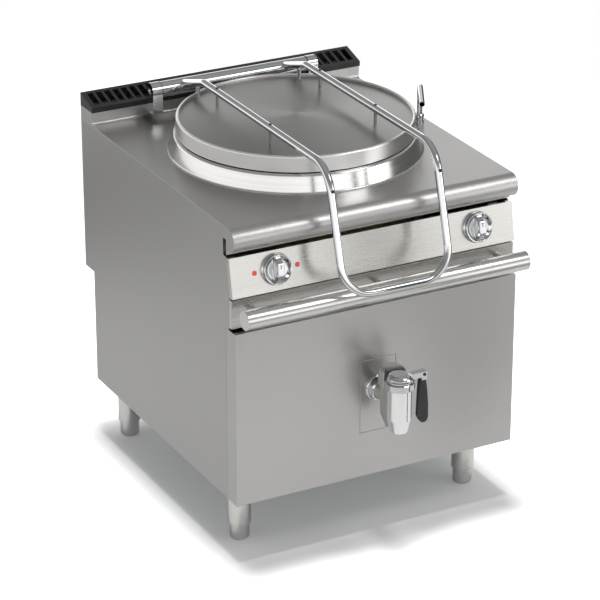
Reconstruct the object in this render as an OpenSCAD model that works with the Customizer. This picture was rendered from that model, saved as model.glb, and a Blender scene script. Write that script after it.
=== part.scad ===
/* [Cabinet] */
// Room between the pan's inner wall and the outer face of each side panel
room_side = 100; // [90:1:150]
// Room between the front panel's face and the pan's inner wall
room_front = 143; // [130:1:200]
// Room between the pan's inner wall and the cabinet's rear face
room_rear = 157; // [145:1:220]
// Height of the worktop above the floor
work_z = 900; // [890:1:910]
// Height of the cabinet's underside above the floor
base_z = 161; // [155:1:175]
// Sheet thickness of the outer panels
sheet_t = 1.5; // [1:0.1:2]
// Sheet thickness of the worktop
top_t = 2; // [1.5:0.1:3]
// Height above the floor of the step in the rear
step_z = 477; // [440:1:520]
// Depth of the step in the rear, left free for pipes
step_d = 55; // [40:1:70]

/* [Front] */
// Height of the front panel's top edge
front_top_z = 632; // [600:1:636]
// Depth of the front panel's folded sides
front_fold = 49; // [35:1:60]
// Depth of the short folded lips on trays
lip_d = 14; // [8:1:16]
// Setback of the strip behind the rail
strip_y = 18; // [14:1:24]
// Height of the strip's lower edge
strip_z = 640; // [638:1:650]
// Height of the strip's upper edge
strip_top_z = 715; // [700:1:717]
// Height of the control panel's lower edge
panel_z = 721; // [720:1:724]
// Setback of the control panel's lower edge
panel_y = 12; // [8:1:16]
// Height of the control panel along its own face
panel_h = 102.8; // [96:0.1:103]
// Lean of the control panel from upright, in degrees
panel_tilt = 10.7; // [8:0.1:13]
// Radius of the half-round worktop nose
nose_r = 30; // [26:0.5:32]
// Setback of the nose's centre
nose_y = 32; // [30:1:36]
// Height of the short lip that hangs from the nose
nose_lip = 12; // [6:1:14]

/* [Grab rail] */
// Radius of the rail tube
rail_r = 25; // [20:0.5:27]
// Distance of the rail's centre in front of the front panel
rail_out = 46; // [40:1:50]
// Height of the rail's centre
rail_z = 689; // [676:1:692]
// Distance of the rail's ends from the cabinet's sides
rail_in = 2; // [-6:1:30]
// Wall of the rail tube
rail_wall = 2; // [1.5:0.1:3]
// Radius of the spacers that carry the rail
spacer_r = 9; // [6:0.5:14]
// Distance of the outer rail spacers from the rail's ends
spacer_in = 48; // [28:1:148]

/* [Pan] */
// Inner radius of the pan
pan_r = 300; // [270:1:330]
// Height of the inside of the pan's bottom
pan_floor_z = 440; // [430:1:470]
// Wall of the pan
pan_wall = 2; // [1.5:0.1:3]
// Radius between the pan's wall and its bottom
pan_corner_r = 40; // [25:1:60]
// Width of the collar from the pan's inner wall to its foot
collar_out = 26.6; // [22:0.2:32]
// Height of the pan's rim above the worktop
collar_h = 48; // [42:0.5:54]
// Lean of the collar's wall, measured across its height
collar_lean = 10; // [6:0.5:12]
// Rounding of the collar's upper edge
collar_round = 8; // [5:0.5:9]
// Radius of the fillet at the collar's foot
collar_fillet = 5; // [2:0.5:6]
// Thickness of the heat insulation around the pan
lagging_t = 30; // [20:1:34]

/* [Lid] */
// Reach of the lid past the pan's inner wall
lid_over = 8; // [4:0.5:12]
// Height of the lid's skirt with its rim bead
lid_h = 42; // [36:0.5:44]
// Gap between the pan's rim and the closed lid
lid_gap = 2.4; // [1.5:0.1:3]
// Sheet thickness of the lid
lid_t = 1.5; // [1:0.1:1.5]
// Radius of the bead round the lid's upper edge
bead_r = 4; // [3:0.1:5]
// Depth of the step inside the bead
bead_step = 8; // [6:0.5:10]
// Rise of the lid's dome
dome_rise = 8; // [5:0.5:12]
// Rise of the drip cone inside the lid
drip_rise = 12; // [6:1:18]

/* [Lid handle] */
// Radius of the handle tube
bar_r = 10; // [8:0.5:11]
// Wall of the handle tube
bar_wall = 1.5; // [1:0.1:2.5]
// Distance of each arm from the middle
arm_x = 150; // [120:1:170]
// Height of the level arms above the bead of the closed lid
arm_over = 35.6; // [33.6:0.2:42]
// Setback of the point where the arms start to bend down at the front
arm_front_y = 53; // [40:1:60]
// Radius of the front bend's centre line
front_bend_r = 80; // [70:1:90]
// Turn of the front bend in degrees
front_turn = 74; // [70:1:78]
// Length of the hanging part from the front bend to the bottom bar
drop_l = 264; // [240:1:270]
// Radius of the bottom corners' centre line
corner_r = 78; // [50:1:90]
// Distance behind the pan's centre where the arms start to slope to the hinge
arm_rear_y = 220; // [210:1:226]
// Distance of the front and rear studs from the pan's centre line
stud_y = 149; // [130:1:170]
// Radius of the studs that carry the handle on the lid
stud_r = 4; // [3:0.2:6]

/* [Lid hinge] */
// Distance of the hinge axis in front of the rear face
hinge_back = 100; // [98:1:102]
// Height of the hinge axis above the worktop
hinge_h = 79; // [76:1:82]
// Radius of the turning hinge tube
hinge_r = 21; // [19:0.5:21.5]
// Wall of the hinge tube
hinge_wall = 2.5; // [2:0.1:4]
// Radius of the fixed hinge shaft
shaft_r = 9; // [7:0.5:10]
// Distance of each bracket's inner face from the middle
bracket_x = 217; // [200:1:230]
// Width of each bracket
bracket_w = 28; // [22:1:34]
// Gap between the hinge tube and each bracket
hinge_gap = 2; // [1:0.5:3]
// Length of each hinge bush
bush_l = 24; // [16:1:40]

/* [Flue] */
// Depth of the flue
flue_d = 68; // [64:1:68]
// Height of the flue box above the worktop
flue_h = 35; // [30:1:40]
// Height of the grille's front face
grille_front_h = 14; // [10:1:16]
// Height of the grille at its rear edge
grille_rear_h = 35; // [28:1:40]
// Overhang of the grille in front of the flue
grille_over = 6; // [2:1:6]
// Spacing of the grille's slots
slot_pitch = 24; // [18:1:40]
// Width of a grille slot
slot_w = 16; // [8:1:17]
// Wall of the cast grille
grille_wall = 3; // [2:0.5:5]

/* [Drain valve] */
// Height of the drain's centre above the floor
drain_z = 403; // [398:1:408]
// Outer radius of the drain pipe
pipe_r = 21; // [18:0.5:22]
// Wall of the drain pipe
pipe_wall = 2; // [1.5:0.1:3]
// Inner radius of the sump below the pan
sump_r = 30; // [27:1:34]
// Width of the strainer's lip round the sump
strainer_lip = 6; // [4:0.5:9]
// Width of the plate behind the valve
plate_w = 100; // [90:1:120]
// Height of the plate behind the valve
plate_h = 199; // [170:1:220]
// Height of the plate's lower edge
plate_z = 285; // [270:1:300]
// Gap round the plate
plate_gap = 1.2; // [0.8:0.1:2]
// Radius of the rosette
rosette_r = 35.5; // [32:0.5:40]
// Thickness of the rosette
rosette_t = 6; // [4:0.5:8]
// Width across the flats of the valve's nut
nut_af = 52; // [50:1:56]
// Thickness of the valve's nut
nut_t = 15; // [10:1:18]
// Distance of the valve's upright axis in front of the front panel
valve_out = 110; // [106:1:120]
// Radius of the valve's barrel
barrel_r = 30.5; // [29:0.5:33]
// Height of the barrel's lower end
barrel_z = 329; // [324:1:336]
// Height of the barrel's taper
taper_h = 35; // [25:1:38]
// Outer radius of the outlet at the barrel's lower end
outlet_r = 22; // [20:0.5:23]
// Wall at the outlet
outlet_wall = 6; // [4:0.5:8]
// Height of the barrel's upper end
barrel_top_z = 448; // [444:1:452]
// Radius of the turning plug
plug_r = 22; // [20:0.5:24]
// Wall of the hollow plug
plug_wall = 5; // [3:0.5:6]
// Radius of the ports through the plug and the body
port_r = 15; // [12:0.5:16]
// Radius of the plug's stem
stem_r = 8; // [6:0.5:10]
// Radius of the gland ring
gland_r = 38; // [34:0.5:39]
// Height of the gland ring
gland_h = 19; // [14:1:22]
// Height of the domed lever cap
cap_h = 19; // [15:1:24]
// Distance from the valve's axis to the lever's outer end
lever_l = 73; // [68:1:80]
// Width of the lever
lever_w = 20; // [14:1:24]
// Height of the lever
lever_h = 14; // [10:1:16]
// Length of the grip
grip_l = 122; // [90:1:130]
// Thickness of the grip
grip_t = 13; // [10:0.5:14]
// Width of the grip at its lower end
grip_w = 36; // [26:1:42]

/* [Knobs and lamps] */
// Distance of the left knob from the cabinet's left side
knob_left_in = 124; // [110:1:150]
// Distance of the right knob from the cabinet's right side
knob_right_in = 106; // [100:1:150]
// Height of the knobs along the control panel's face
knob_up = 55; // [48:0.5:56]
// Radius of the knob's skirt
knob_r = 41; // [34:0.5:43]
// Height of the knob from its skirt to the grip's face
knob_h = 30; // [24:0.5:34]
// Width of the knob's upright grip
knob_grip_w = 15; // [10:0.5:20]
// Radius of the control spindles
spindle_r = 4; // [3:0.1:6]
// Distance from the left knob to each lamp
lamp_off = 59; // [52:1:66]
// Radius of the lamps
lamp_r = 6.5; // [5:0.5:9]

/* [Water spout] */
// Distance of the spout's axis from the cabinet's right side
spout_in = 27; // [22:1:34]
// Distance of the spout's axis behind the pan's centre
spout_behind = 10; // [-13:1:37]
// Radius of the spout tube
spout_r = 7.3; // [6:0.1:8]
// Wall of the spout tube
spout_wall = 1; // [0.8:0.1:1.5]
// Height of the spout's level arm above the worktop
spout_h = 104; // [103:1:125]
// Reach of the spout from its axis
spout_l = 149; // [110:1:180]
// Turn of the spout from the front towards the pan, as it is parked, in degrees
spout_park = 28; // [0:1:29]
// Radius of the spout's bend
spout_bend_r = 20; // [14:1:26]
// Radius of the spout's base
spout_base_r = 12; // [11:0.5:14]
// Height of the spout's base
spout_base_h = 14; // [10:1:18]

/* [Feet] */
// Distance of the feet from the cabinet's sides
foot_in = 69; // [50:1:100]
// Setback of the front feet
foot_front_y = 125; // [110:1:150]
// Distance of the rear feet in front of the rear face
foot_rear_in = 108; // [105:1:140]
// Radius of the foot's cup
foot_r = 25.5; // [22:0.5:26]
// Height of the foot that shows below its sleeve
foot_h = 46; // [40:1:50]
// Radius of the foot's sleeve
sleeve_r = 30; // [28.5:0.5:34]
// Radius of the foot's adjusting stem
foot_stem_r = 10; // [8:0.5:12]

/* [Base frame] */
// Width of the frame's square tube
tube_w = 30; // [25:1:35]
// Wall of the frame's square tube
tube_wall = 2; // [1.5:0.1:3]

/* [Clearances] */
// Radial clearance of shafts and stems in their bores
run_fit = 0.06; // [0.02:0.01:0.1]
// Clearance between faces that pass each other
face_fit = 0.4; // [0.3:0.05:0.6]

/* [Hidden] */
$fn = 96;

// Colours of the finishes
steel = "#a9a8a4";
bright_steel = "#d9d8d4";
chrome = "#e4e6e8";
black_enamel = "#262527";
black_plastic = "#2b2b2d";
red_lens = "#d8322c";
galvanised = "#9aa0a2";
wool = "#c9b98f";
copper = "#b87352";
ceramic = "#e8e6dd";

// The cabinet is drawn round its pan: width across the side panels, and depth to the rear face
cab_w = 2 * (pan_r + room_side);
cab_d = room_front + 2 * pan_r + room_rear;

// The object's reference point is the middle of its footprint, on the floor
front_reach = valve_out + gland_r;
mid_y = (cab_d - front_reach) / 2;

half_w = cab_w / 2;
in_w = half_w - sheet_t;
pan_y = room_front + pan_r;
hinge_y = cab_d - hinge_back;
flue_y = cab_d - flue_d;
foot_rear_y = cab_d - foot_rear_in;
foot_x = half_w - foot_in;
knob_left_x = half_w - knob_left_in;
knob_right_x = half_w - knob_right_in;
spout_x = half_w - spout_in;
spout_y = pan_y + spout_behind;
rail_l = cab_w - 2 * rail_in;
spacer_x = rail_l / 2 - spacer_in;
collar_r = pan_r + collar_out;
lid_r = pan_r + lid_over;
cut = 1; // how far a cutting shape runs past the face it opens
bolt_r = 4;
screw_r = 2.5;
hole_fit = 0.2;
rim_z = work_z + collar_h;
pan_out = pan_r + pan_wall;
panel_depth = 16;
panel_top_y = panel_y + panel_h * sin(panel_tilt);
panel_top_z = panel_z + panel_h * cos(panel_tilt);
nose_z = work_z - nose_r;
nose_back = nose_y + 13;
nose_cap = nose_y + nose_r;
lower_back = cab_d - step_d;
hinge_z = work_z + hinge_h;
lid_z = rim_z + lid_gap;
lid_top = lid_z + lid_h;
arm_z = lid_top + arm_over;
dome_r = lid_r - 2 * bead_r - 6;
dome_z = lid_top - bead_step;
flue_top = work_z + flue_h;
grille_top = flue_top + grille_rear_h;
spout_z = work_z + spout_h;
gland_top = barrel_top_z + gland_h;
bracket_out = bracket_x + bracket_w;

function arc(cx, cy, r, from, to, steps = 6) =
    [for (i = [0:steps]) [cx + r * cos(from + (to - from) * i / steps),
                          cy + r * sin(from + (to - from) * i / steps)]];
function flipped(list) = [for (i = [len(list) - 1:-1:0]) list[i]];

// Places what is measured from the front panel's face round the reference point
module from_front() {
    translate([0, -mid_y, 0]) children();
}

// Extrudes an outline drawn in depth and height across the width
module across(x_low, x_high) {
    translate([x_low, 0, 0]) rotate([90, 0, 90]) linear_extrude(x_high - x_low) children();
}

// Works in the control panel's own plane: x across, y up the face, z outwards
module on_panel(x, up) {
    translate([0, panel_y, panel_z]) rotate([90 - panel_tilt, 0, 0]) translate([x, up, 0]) children();
}

module mirrored_pair() {
    children();
    mirror([1, 0, 0]) children();
}

module box(low, high) {
    translate(low) cube(high - low);
}

module ring(outer, inner, height) {
    difference() {
        cylinder(r = outer, h = height);
        translate([0, 0, -1]) cylinder(r = inner, h = height + 2);
    }
}

// Open tray of folded sheet: a face with four walls behind it
module tray(wide, high, deep, wall) {
    difference() {
        translate([-wide / 2, 0, -deep]) cube([wide, high, deep]);
        translate([-wide / 2 + wall, wall, -deep - 1]) cube([wide - 2 * wall, high - 2 * wall, deep + 1 - wall]);
    }
}

/* Cabinet */

module worktop_sheet() {
    difference() {
        translate([nose_y, nose_z]) circle(nose_r);
        translate([nose_y, nose_z]) circle(nose_r - top_t);
        translate([nose_y, nose_z - nose_r - cut]) square([nose_r + cut, 2 * (nose_r + cut)]);
    }
    translate([nose_y, work_z - top_t]) square([cab_d - nose_y, top_t]);
    translate([nose_y, nose_z - nose_r]) square([nose_back - nose_y, top_t]);
    translate([nose_back - top_t, nose_z - nose_r - nose_lip]) square([top_t, nose_lip + top_t]);
}

module nose_end() {
    difference() {
        union() {
            translate([nose_y, nose_z]) circle(nose_r);
            translate([nose_y, nose_z - nose_r]) square([nose_cap - nose_y, 2 * nose_r]);
        }
        translate([nose_back, nose_z - nose_r - 1]) square([nose_cap, 1 + nose_r - top_t]);
    }
}

module worktop() {
    color(steel) from_front() {
        difference() {
            across(-half_w, half_w) worktop_sheet();
            translate([0, pan_y, work_z - top_t - cut]) cylinder(r = collar_r, h = top_t + 2 * cut, $fn = 180);
            translate([spout_x, spout_y, work_z - top_t - cut]) cylinder(r = spout_hole_r, h = top_t + 2 * cut);
            box([-half_w + flue_open_in, flue_y + flue_open_lip, work_z - top_t - cut],
                [half_w - flue_open_in, cab_d - flue_open_lip, work_z + cut]);
        }
        mirrored_pair() across(half_w - top_t, half_w) nose_end();
    }
}

flue_open_in = 40;
flue_open_lip = 12;
spout_hole_r = spout_base_r - 3;
collar_wall_turn = 10;
fillet_end = 195;

// Raised ring between the worktop and the pan's rim, welded to both
module pan_collar() {
    round_r = collar_r - collar_lean - collar_round;
    round_z = rim_z - collar_round;
    color(bright_steel) from_front() translate([0, pan_y, 0]) rotate_extrude($fn = 180) polygon(concat(
        [[collar_r, work_z - top_t], [collar_r, work_z], [collar_r + collar_fillet - 1, work_z]],
        arc(collar_r - 1 + collar_fillet, work_z + collar_fillet + 0.3, collar_fillet, 270, fillet_end, 4),
        arc(round_r, round_z, collar_round, collar_wall_turn, 90),
        [[pan_out, rim_z], [pan_out, rim_z - top_t]],
        flipped(arc(round_r, round_z, collar_round - top_t, collar_wall_turn, 90)),
        [[collar_r - top_t, work_z - top_t]]));
}

// Outline of a side panel, seen from the side
module side_outline() {
    polygon([[front_fold + 1, base_z], [front_fold + 1, front_top_z + 1], [strip_y + lip_d + 1, front_top_z + 1],
        [strip_y + lip_d + 1, strip_top_z + 2], [panel_y + panel_depth + 1, panel_z + 1],
        [panel_top_y + panel_depth + 1, panel_top_z], [nose_cap, panel_top_z], [nose_cap, work_z - top_t],
        [cab_d, work_z - top_t], [cab_d, step_z], [lower_back, step_z], [lower_back, base_z]]);
}

flange_w = 18;

module side_panel() {
    across(in_w, half_w) side_outline();
    // folded flanges that the rear panels and the bottom tray are fixed to
    box([in_w - flange_w, cab_d - 2 * sheet_t - 0.2, step_z + 4], [in_w, cab_d - sheet_t - 0.2, work_z - top_t - 4]);
    box([in_w - flange_w, lower_back - 2 * sheet_t - 0.2, base_z + 8], [in_w, lower_back - sheet_t - 0.2, step_z - 4]);
}

module side_panel_left() {
    color(steel) from_front() mirror([1, 0, 0]) side_panel();
}

module side_panel_right() {
    color(steel) from_front() side_panel();
}

module front_panel() {
    color(steel) from_front() difference() {
        translate([0, 0, base_z]) rotate([90, 0, 0]) tray(cab_w, front_top_z - base_z, front_fold, sheet_t);
        box([-half_w + sheet_t, lip_d, base_z - 1], [half_w - sheet_t, front_fold + 1, base_z + sheet_t + 1]);
        box([-half_w + sheet_t, lip_d, front_top_z - sheet_t - 1],
            [half_w - sheet_t, front_fold + 1, front_top_z + 1]);
        box([-plate_w / 2 - plate_gap, -1, plate_z - plate_gap],
            [plate_w / 2 + plate_gap, sheet_t + 1, plate_z + plate_h + plate_gap]);
    }
}

module control_panel() {
    color(bright_steel) from_front() difference() {
        on_panel(0, 0) tray(cab_w, panel_h, panel_depth, sheet_t);
        on_panel(-knob_left_x, knob_up) translate([0, 0, -sheet_t - 1]) cylinder(r = bush_hole_r, h = sheet_t + 2);
        on_panel(knob_right_x, knob_up) translate([0, 0, -sheet_t - 1]) cylinder(r = bush_hole_r, h = sheet_t + 2);
        for (side = [-1, 1])
            on_panel(-knob_left_x + side * lamp_off, knob_up) translate([0, 0, -sheet_t - 1])
                cylinder(r = lamp_r - lamp_bore_in, h = sheet_t + 2);
    }
}

bush_hole_r = spindle_r + 3;

module rail_strip() {
    color(bright_steel) from_front() difference() {
        translate([0, strip_y, strip_z]) rotate([90, 0, 0]) tray(cab_w, strip_top_z - strip_z, lip_d, sheet_t);
        for (x = [-spacer_x, 0, spacer_x])
            translate([x, strip_y - 1, rail_z]) rotate([-90, 0, 0]) cylinder(r = bolt_r + hole_fit, h = sheet_t + 2);
    }
}

louvre_l = 180;
louvre_h = 6;
louvre_pitch = 22;
louvre_rows = 6;
louvre_x = half_w * 0.375;
louvre_top = 104;

module louvres() {
    for (i = [0:louvre_rows - 1]) for (x = [-louvre_x, louvre_x])
        translate([x - louvre_l / 2, -cut, work_z - louvre_top - i * louvre_pitch])
            cube([louvre_l, sheet_t + 2 * cut, louvre_h]);
}

module rear_upper_panel() {
    color(steel) from_front() translate([0, cab_d, 0]) difference() {
        union() {
            box([-in_w, -sheet_t, step_z], [in_w, 0, work_z - top_t]);
            box([-in_w, -step_d, step_z], [in_w, 0, step_z + sheet_t]);
        }
        translate([0, -sheet_t, 0]) louvres();
    }
}

inlet_side = 150;
inlet_x = half_w - inlet_side;
gland_x = -inlet_x;
inlet_z = 300;
inlet_hole_r = 12.5;
inlet_r = 10.5;
inlet_nut_r = 18;
inlet_in = 30;
inlet_out = 22;
gland_r_out = 16;
gland_nut_r = 22;
gland_in = 12;
gland_out = 18;
cord_r = 9;

module rear_lower_panel() {
    color(steel) from_front() difference() {
        box([-in_w, lower_back - sheet_t, base_z + sheet_t], [in_w, lower_back, step_z]);
        translate([inlet_x, lower_back - sheet_t - 1, inlet_z]) rotate([-90, 0, 0])
            cylinder(r = inlet_hole_r, h = sheet_t + 2);
        translate([gland_x, lower_back - sheet_t - 1, inlet_z]) rotate([-90, 0, 0])
            cylinder(r = gland_r_out, h = sheet_t + 2);
    }
}

module foot_spots() {
    for (x = [-foot_x, foot_x]) for (y = [foot_front_y, foot_rear_y]) translate([x, y, 0]) children();
}

tray_up = 25;

module bottom_tray() {
    color(galvanised) from_front() difference() {
        union() {
            box([-in_w, front_fold + 1, base_z], [in_w, lower_back - sheet_t, base_z + sheet_t]);
            box([-in_w, front_fold + 1, base_z], [in_w, front_fold + 1 + sheet_t, base_z + tray_up]);
        }
        foot_spots() translate([0, 0, base_z - 1]) cylinder(r = foot_stem_r + 4, h = sheet_t + 2);
    }
}

post_top = work_z - top_t;
frame_z = base_z + sheet_t;
frame_in = 8;
frame_front = front_fold + 4;
frame_back = lower_back - 5;

module square_tube(low, high, axis) {
    difference() {
        box(low, high);
        box([for (i = [0:2]) low[i] + (i == axis ? -1 : tube_wall)],
            [for (i = [0:2]) high[i] - (i == axis ? -1 : tube_wall)]);
    }
}

module base_frame() {
    color(galvanised) from_front() difference() {
        union() {
            mirrored_pair() {
                square_tube([in_w - frame_in - tube_w, frame_front, frame_z],
                    [in_w - frame_in, frame_back, frame_z + tube_w], 1);
                for (y = [frame_front + 30, frame_back - tube_w])
                    square_tube([in_w - frame_in - tube_w, y, frame_z + tube_w],
                        [in_w - frame_in, y + tube_w, post_top], 2);
            }
            for (y = [foot_front_y - tube_w / 2, foot_rear_y - tube_w / 2])
                square_tube([-in_w + frame_in + tube_w, y, frame_z],
                    [in_w - frame_in - tube_w, y + tube_w, frame_z + tube_w], 0);
        }
        foot_spots() translate([0, 0, frame_z - 1]) cylinder(r = foot_stem_r + 2, h = tube_w + 2);
    }
}

/* Grab rail */

cap_t = 4;
cap_plug_l = 12;

module grab_rail() {
    color(chrome) from_front() difference() {
        translate([-rail_l / 2 + cap_t, -rail_out, rail_z]) rotate([0, 90, 0])
            cylinder(r = rail_r, h = rail_l - 2 * cap_t);
        translate([-rail_l / 2, -rail_out, rail_z]) rotate([0, 90, 0]) cylinder(r = rail_r - rail_wall, h = rail_l);
        for (x = [-spacer_x, 0, spacer_x])
            translate([x, -rail_out, rail_z]) rotate([-90, 0, 0]) cylinder(r = bolt_r + hole_fit, h = rail_r + 1);
    }
}

module rail_end_caps() {
    color(chrome) from_front() mirrored_pair() translate([rail_l / 2 - cap_t, -rail_out, rail_z]) rotate([0, 90, 0]) {
        cylinder(r = rail_r, h = cap_t);
        translate([0, 0, -cap_plug_l]) cylinder(r = rail_r - rail_wall, h = cap_plug_l);
    }
}

bolt_head_r = 7.5;
bolt_head_h = 5;

// Spacers between the strip and the rail, each with its bolt through both
module rail_spacers() {
    color(chrome) from_front() for (x = [-spacer_x, 0, spacer_x])
        translate([x, strip_y, rail_z]) rotate([90, 0, 0]) {
            difference() {
                cylinder(r = spacer_r, h = strip_y + rail_out);
                translate([0, 0, strip_y + rail_out]) rotate([0, 90, 0])
                    translate([0, 0, -spacer_r - 1]) cylinder(r = rail_r, h = 2 * spacer_r + 2);
            }
            translate([0, 0, -sheet_t - bolt_head_h]) cylinder(r = bolt_head_r, h = bolt_head_h, $fn = 6);
            translate([0, 0, -sheet_t - 0.01]) cylinder(r = bolt_r, h = strip_y + rail_out - rail_r + rail_wall + 6);
        }
}

/* Pan */

module pan_half(outset) {
    difference() {
        union() {
            translate([0, pan_floor_z + pan_corner_r]) square([pan_r + outset, rim_z - pan_floor_z - pan_corner_r]);
            translate([0, pan_floor_z - outset]) square([pan_r - pan_corner_r, pan_corner_r + outset + 0.01]);
            translate([pan_r - pan_corner_r, pan_floor_z + pan_corner_r]) circle(pan_corner_r + outset);
        }
        translate([-2 * pan_r, 0]) square([2 * pan_r, 2 * rim_z]);
    }
}

sump_off = pan_r - pan_corner_r - sump_r - strainer_lip - 2;
sump_bottom = drain_z - pipe_r - 6;

module pan_vessel() {
    color(bright_steel) from_front() difference() {
        union() {
            translate([0, pan_y, 0]) rotate_extrude($fn = 180) pan_half(pan_wall);
            translate([0, pan_y - sump_off, sump_bottom - pan_wall])
                cylinder(r = sump_r + pan_wall, h = pan_floor_z - sump_bottom);
        }
        translate([0, pan_y, 0]) rotate_extrude($fn = 180) union() {
            pan_half(0);
            translate([0, rim_z - 1]) square([pan_r, 2]);
        }
        translate([0, pan_y - sump_off, sump_bottom]) cylinder(r = sump_r, h = pan_floor_z - sump_bottom + 1);
        translate([0, pan_y - sump_off, drain_z]) rotate([90, 0, 0]) cylinder(r = pipe_r - pipe_wall, h = sump_r + 10);
    }
}

lagging_rise = 20;
lagging_gap = 10;

module pan_insulation() {
    color(wool) from_front() translate([0, pan_y, pan_floor_z + lagging_rise]) difference() {
        cylinder(r = pan_out + lagging_t, h = work_z - top_t - lagging_gap - pan_floor_z - lagging_rise);
        translate([0, 0, -cut]) cylinder(r = pan_out, h = rim_z);
    }
}

element_r = 4.2;
element_z = pan_floor_z - pan_wall - element_r;
clamp_plate_r = sump_off - sump_r - pan_wall - 4;
ring_pitch = clamp_plate_r * 0.19;
element_rings = [for (i = [0:3]) clamp_plate_r - ring_pitch * (i + 0.6)];
plate_t = 4;
lead_l = 40;
lead_turns = [100, 80];

module heating_elements() {
    color(galvanised) from_front() translate([0, pan_y, element_z]) for (r = element_rings) {
        rotate([0, 0, lead_turns[0]]) rotate_extrude(angle = 340) translate([r, 0]) circle(element_r, $fn = 24);
        for (turn = lead_turns)
            rotate([0, 0, turn]) translate([r, 0, -lead_l]) cylinder(r = element_r, h = lead_l, $fn = 24);
    }
}

module element_clamp_plate() {
    color(galvanised) from_front() translate([0, pan_y, element_z - element_r - plate_t]) difference() {
        cylinder(r = clamp_plate_r, h = plate_t);
        for (r = element_rings) for (turn = lead_turns)
            rotate([0, 0, turn]) translate([r, 0, -cut]) cylinder(r = element_r + 1, h = plate_t + 2 * cut);
    }
}

/* Drain */

module drain_pipe() {
    color(bright_steel) from_front() difference() {
        translate([0, pan_y - sump_off, drain_z]) rotate([90, 0, 0])
            cylinder(r = pipe_r, h = pan_y - sump_off + rosette_t + nut_t);
        translate([0, pan_y - sump_off + 1, drain_z]) rotate([90, 0, 0])
            cylinder(r = pipe_r - pipe_wall, h = pan_y - sump_off + rosette_t + nut_t + 2);
        translate([0, pan_y - sump_off, sump_bottom - cut]) cylinder(r = sump_r + pan_wall, h = 2 * pipe_r + 20);
    }
}

// Perforated disc that lies on the pan's floor over the sump
module drain_strainer() {
    color(bright_steel) from_front() translate([0, pan_y - sump_off, pan_floor_z]) difference() {
        union() {
            cylinder(r = sump_r + strainer_lip, h = 1.5);
            translate([0, 0, 1.5]) cylinder(r = 2.5, h = 10);
            translate([0, 0, 11]) sphere(r = 5, $fn = 32);
            translate([0, 0, -6]) ring(sump_r - 0.5, sump_r - 2, 6);
        }
        for (r = [10, 18, 25]) for (i = [0:r / 2 - 1])
            rotate([0, 0, i * 720 / r]) translate([r, 0, -8]) cylinder(r = 2, h = 12, $fn = 24);
    }
}

module valve_plate() {
    color(steel) from_front() difference() {
        union() {
            box([-plate_w / 2, 0, plate_z], [plate_w / 2, sheet_t + 2, plate_z + plate_h]);
            box([-plate_w / 2 - 12, sheet_t, plate_z - 12], [plate_w / 2 + 12, sheet_t + 2, plate_z + plate_h + 12]);
        }
        translate([0, sheet_t + 3, drain_z]) rotate([90, 0, 0]) cylinder(r = pipe_r, h = sheet_t + 5);
    }
}

module valve_rosette() {
    color(chrome) from_front() translate([0, 0, drain_z]) rotate([90, 0, 0]) difference() {
        rotate_extrude() polygon(concat([[0, 0], [rosette_r, 0], [rosette_r, 1.5]],
            arc(rosette_r - rosette_t + 1.5, 1.5, rosette_t - 1.5, 15, 90), [[0, rosette_t]]));
        translate([0, 0, -1]) cylinder(r = pipe_r, h = rosette_t + 2);
    }
}

module valve_nut() {
    color(chrome) from_front() translate([0, -rosette_t, drain_z]) rotate([90, 30, 0]) difference() {
        intersection() {
            cylinder(r = nut_af / sqrt(3), h = nut_t, $fn = 6);
            rotate_extrude() polygon([[0, 0], [nut_af / sqrt(3) + 1, 0], [nut_af / sqrt(3) + 1, nut_t - 3],
                [nut_af / 2 - 1, nut_t], [0, nut_t]]);
        }
        translate([0, 0, -1]) cylinder(r = pipe_r, h = nut_t + 2);
    }
}

rear_out = valve_out - 38;
neck_start = rosette_t + nut_t;
hood_r = 35;
hood_top = gland_top + 26;
chamber_z = barrel_z + taper_h + 6;
plug_top = barrel_top_z - face_fit;

// Tapered upright barrel, as a solid of revolution about its own axis
module barrel(r_top, r_low) {
    rotate_extrude() polygon([[0, barrel_z], [r_low, barrel_z], [r_top, barrel_z + taper_h],
        [r_top, barrel_top_z], [0, barrel_top_z]]);
}

module flank(inset) {
    across(-barrel_r + inset, barrel_r - inset) polygon([[-valve_out, barrel_z + taper_h],
        [-rear_out, barrel_z + taper_h], [-rear_out, barrel_top_z], [-valve_out, barrel_top_z]]);
}

module valve_body() {
    color(bright_steel) from_front() difference() {
        union() {
            translate([0, -valve_out, 0]) barrel(barrel_r, outlet_r);
            translate([0, -rear_out, 0]) barrel(barrel_r - 1, outlet_r - 6);
            flank(1.5);
            hood();
            translate([0, -neck_start, drain_z]) rotate([90, 0, 0])
                cylinder(r = pipe_r + 2, h = rear_out - neck_start);
        }
        translate([0, -valve_out, chamber_z]) cylinder(r = plug_r + run_fit, h = barrel_top_z - chamber_z + 1);
        translate([0, -valve_out, barrel_z - 1]) cylinder(r = outlet_r - outlet_wall, h = chamber_z - barrel_z + 2);
        translate([0, 1 - neck_start, drain_z]) rotate([90, 0, 0]) cylinder(r = port_r, h = valve_out - neck_start);
    }
}

// Rounded cover of the casting behind the gland ring
module hood() {
    difference() {
        translate([0, -rear_out, barrel_top_z - 12]) rotate_extrude() polygon(concat(
            [[0, 0], [hood_r, 8], [hood_r, hood_top - barrel_top_z - 8]],
            arc(hood_r - 20, hood_top - barrel_top_z - 8, 20, 15, 90), [[0, hood_top - barrel_top_z + 12]]));
        translate([0, -valve_out, barrel_top_z - 13]) cylinder(r = gland_r + 1, h = hood_top - barrel_top_z + 14);
    }
}

module valve_gland_ring() {
    color(chrome) from_front() translate([0, -valve_out, barrel_top_z]) difference() {
        rotate_extrude() polygon([[0, 0], [gland_r - 2, 0], [gland_r, 2], [gland_r, gland_h - 2],
            [gland_r - 2, gland_h], [0, gland_h]]);
        translate([0, 0, -1]) cylinder(r = stem_r + run_fit, h = gland_h + 2);
    }
}

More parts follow.
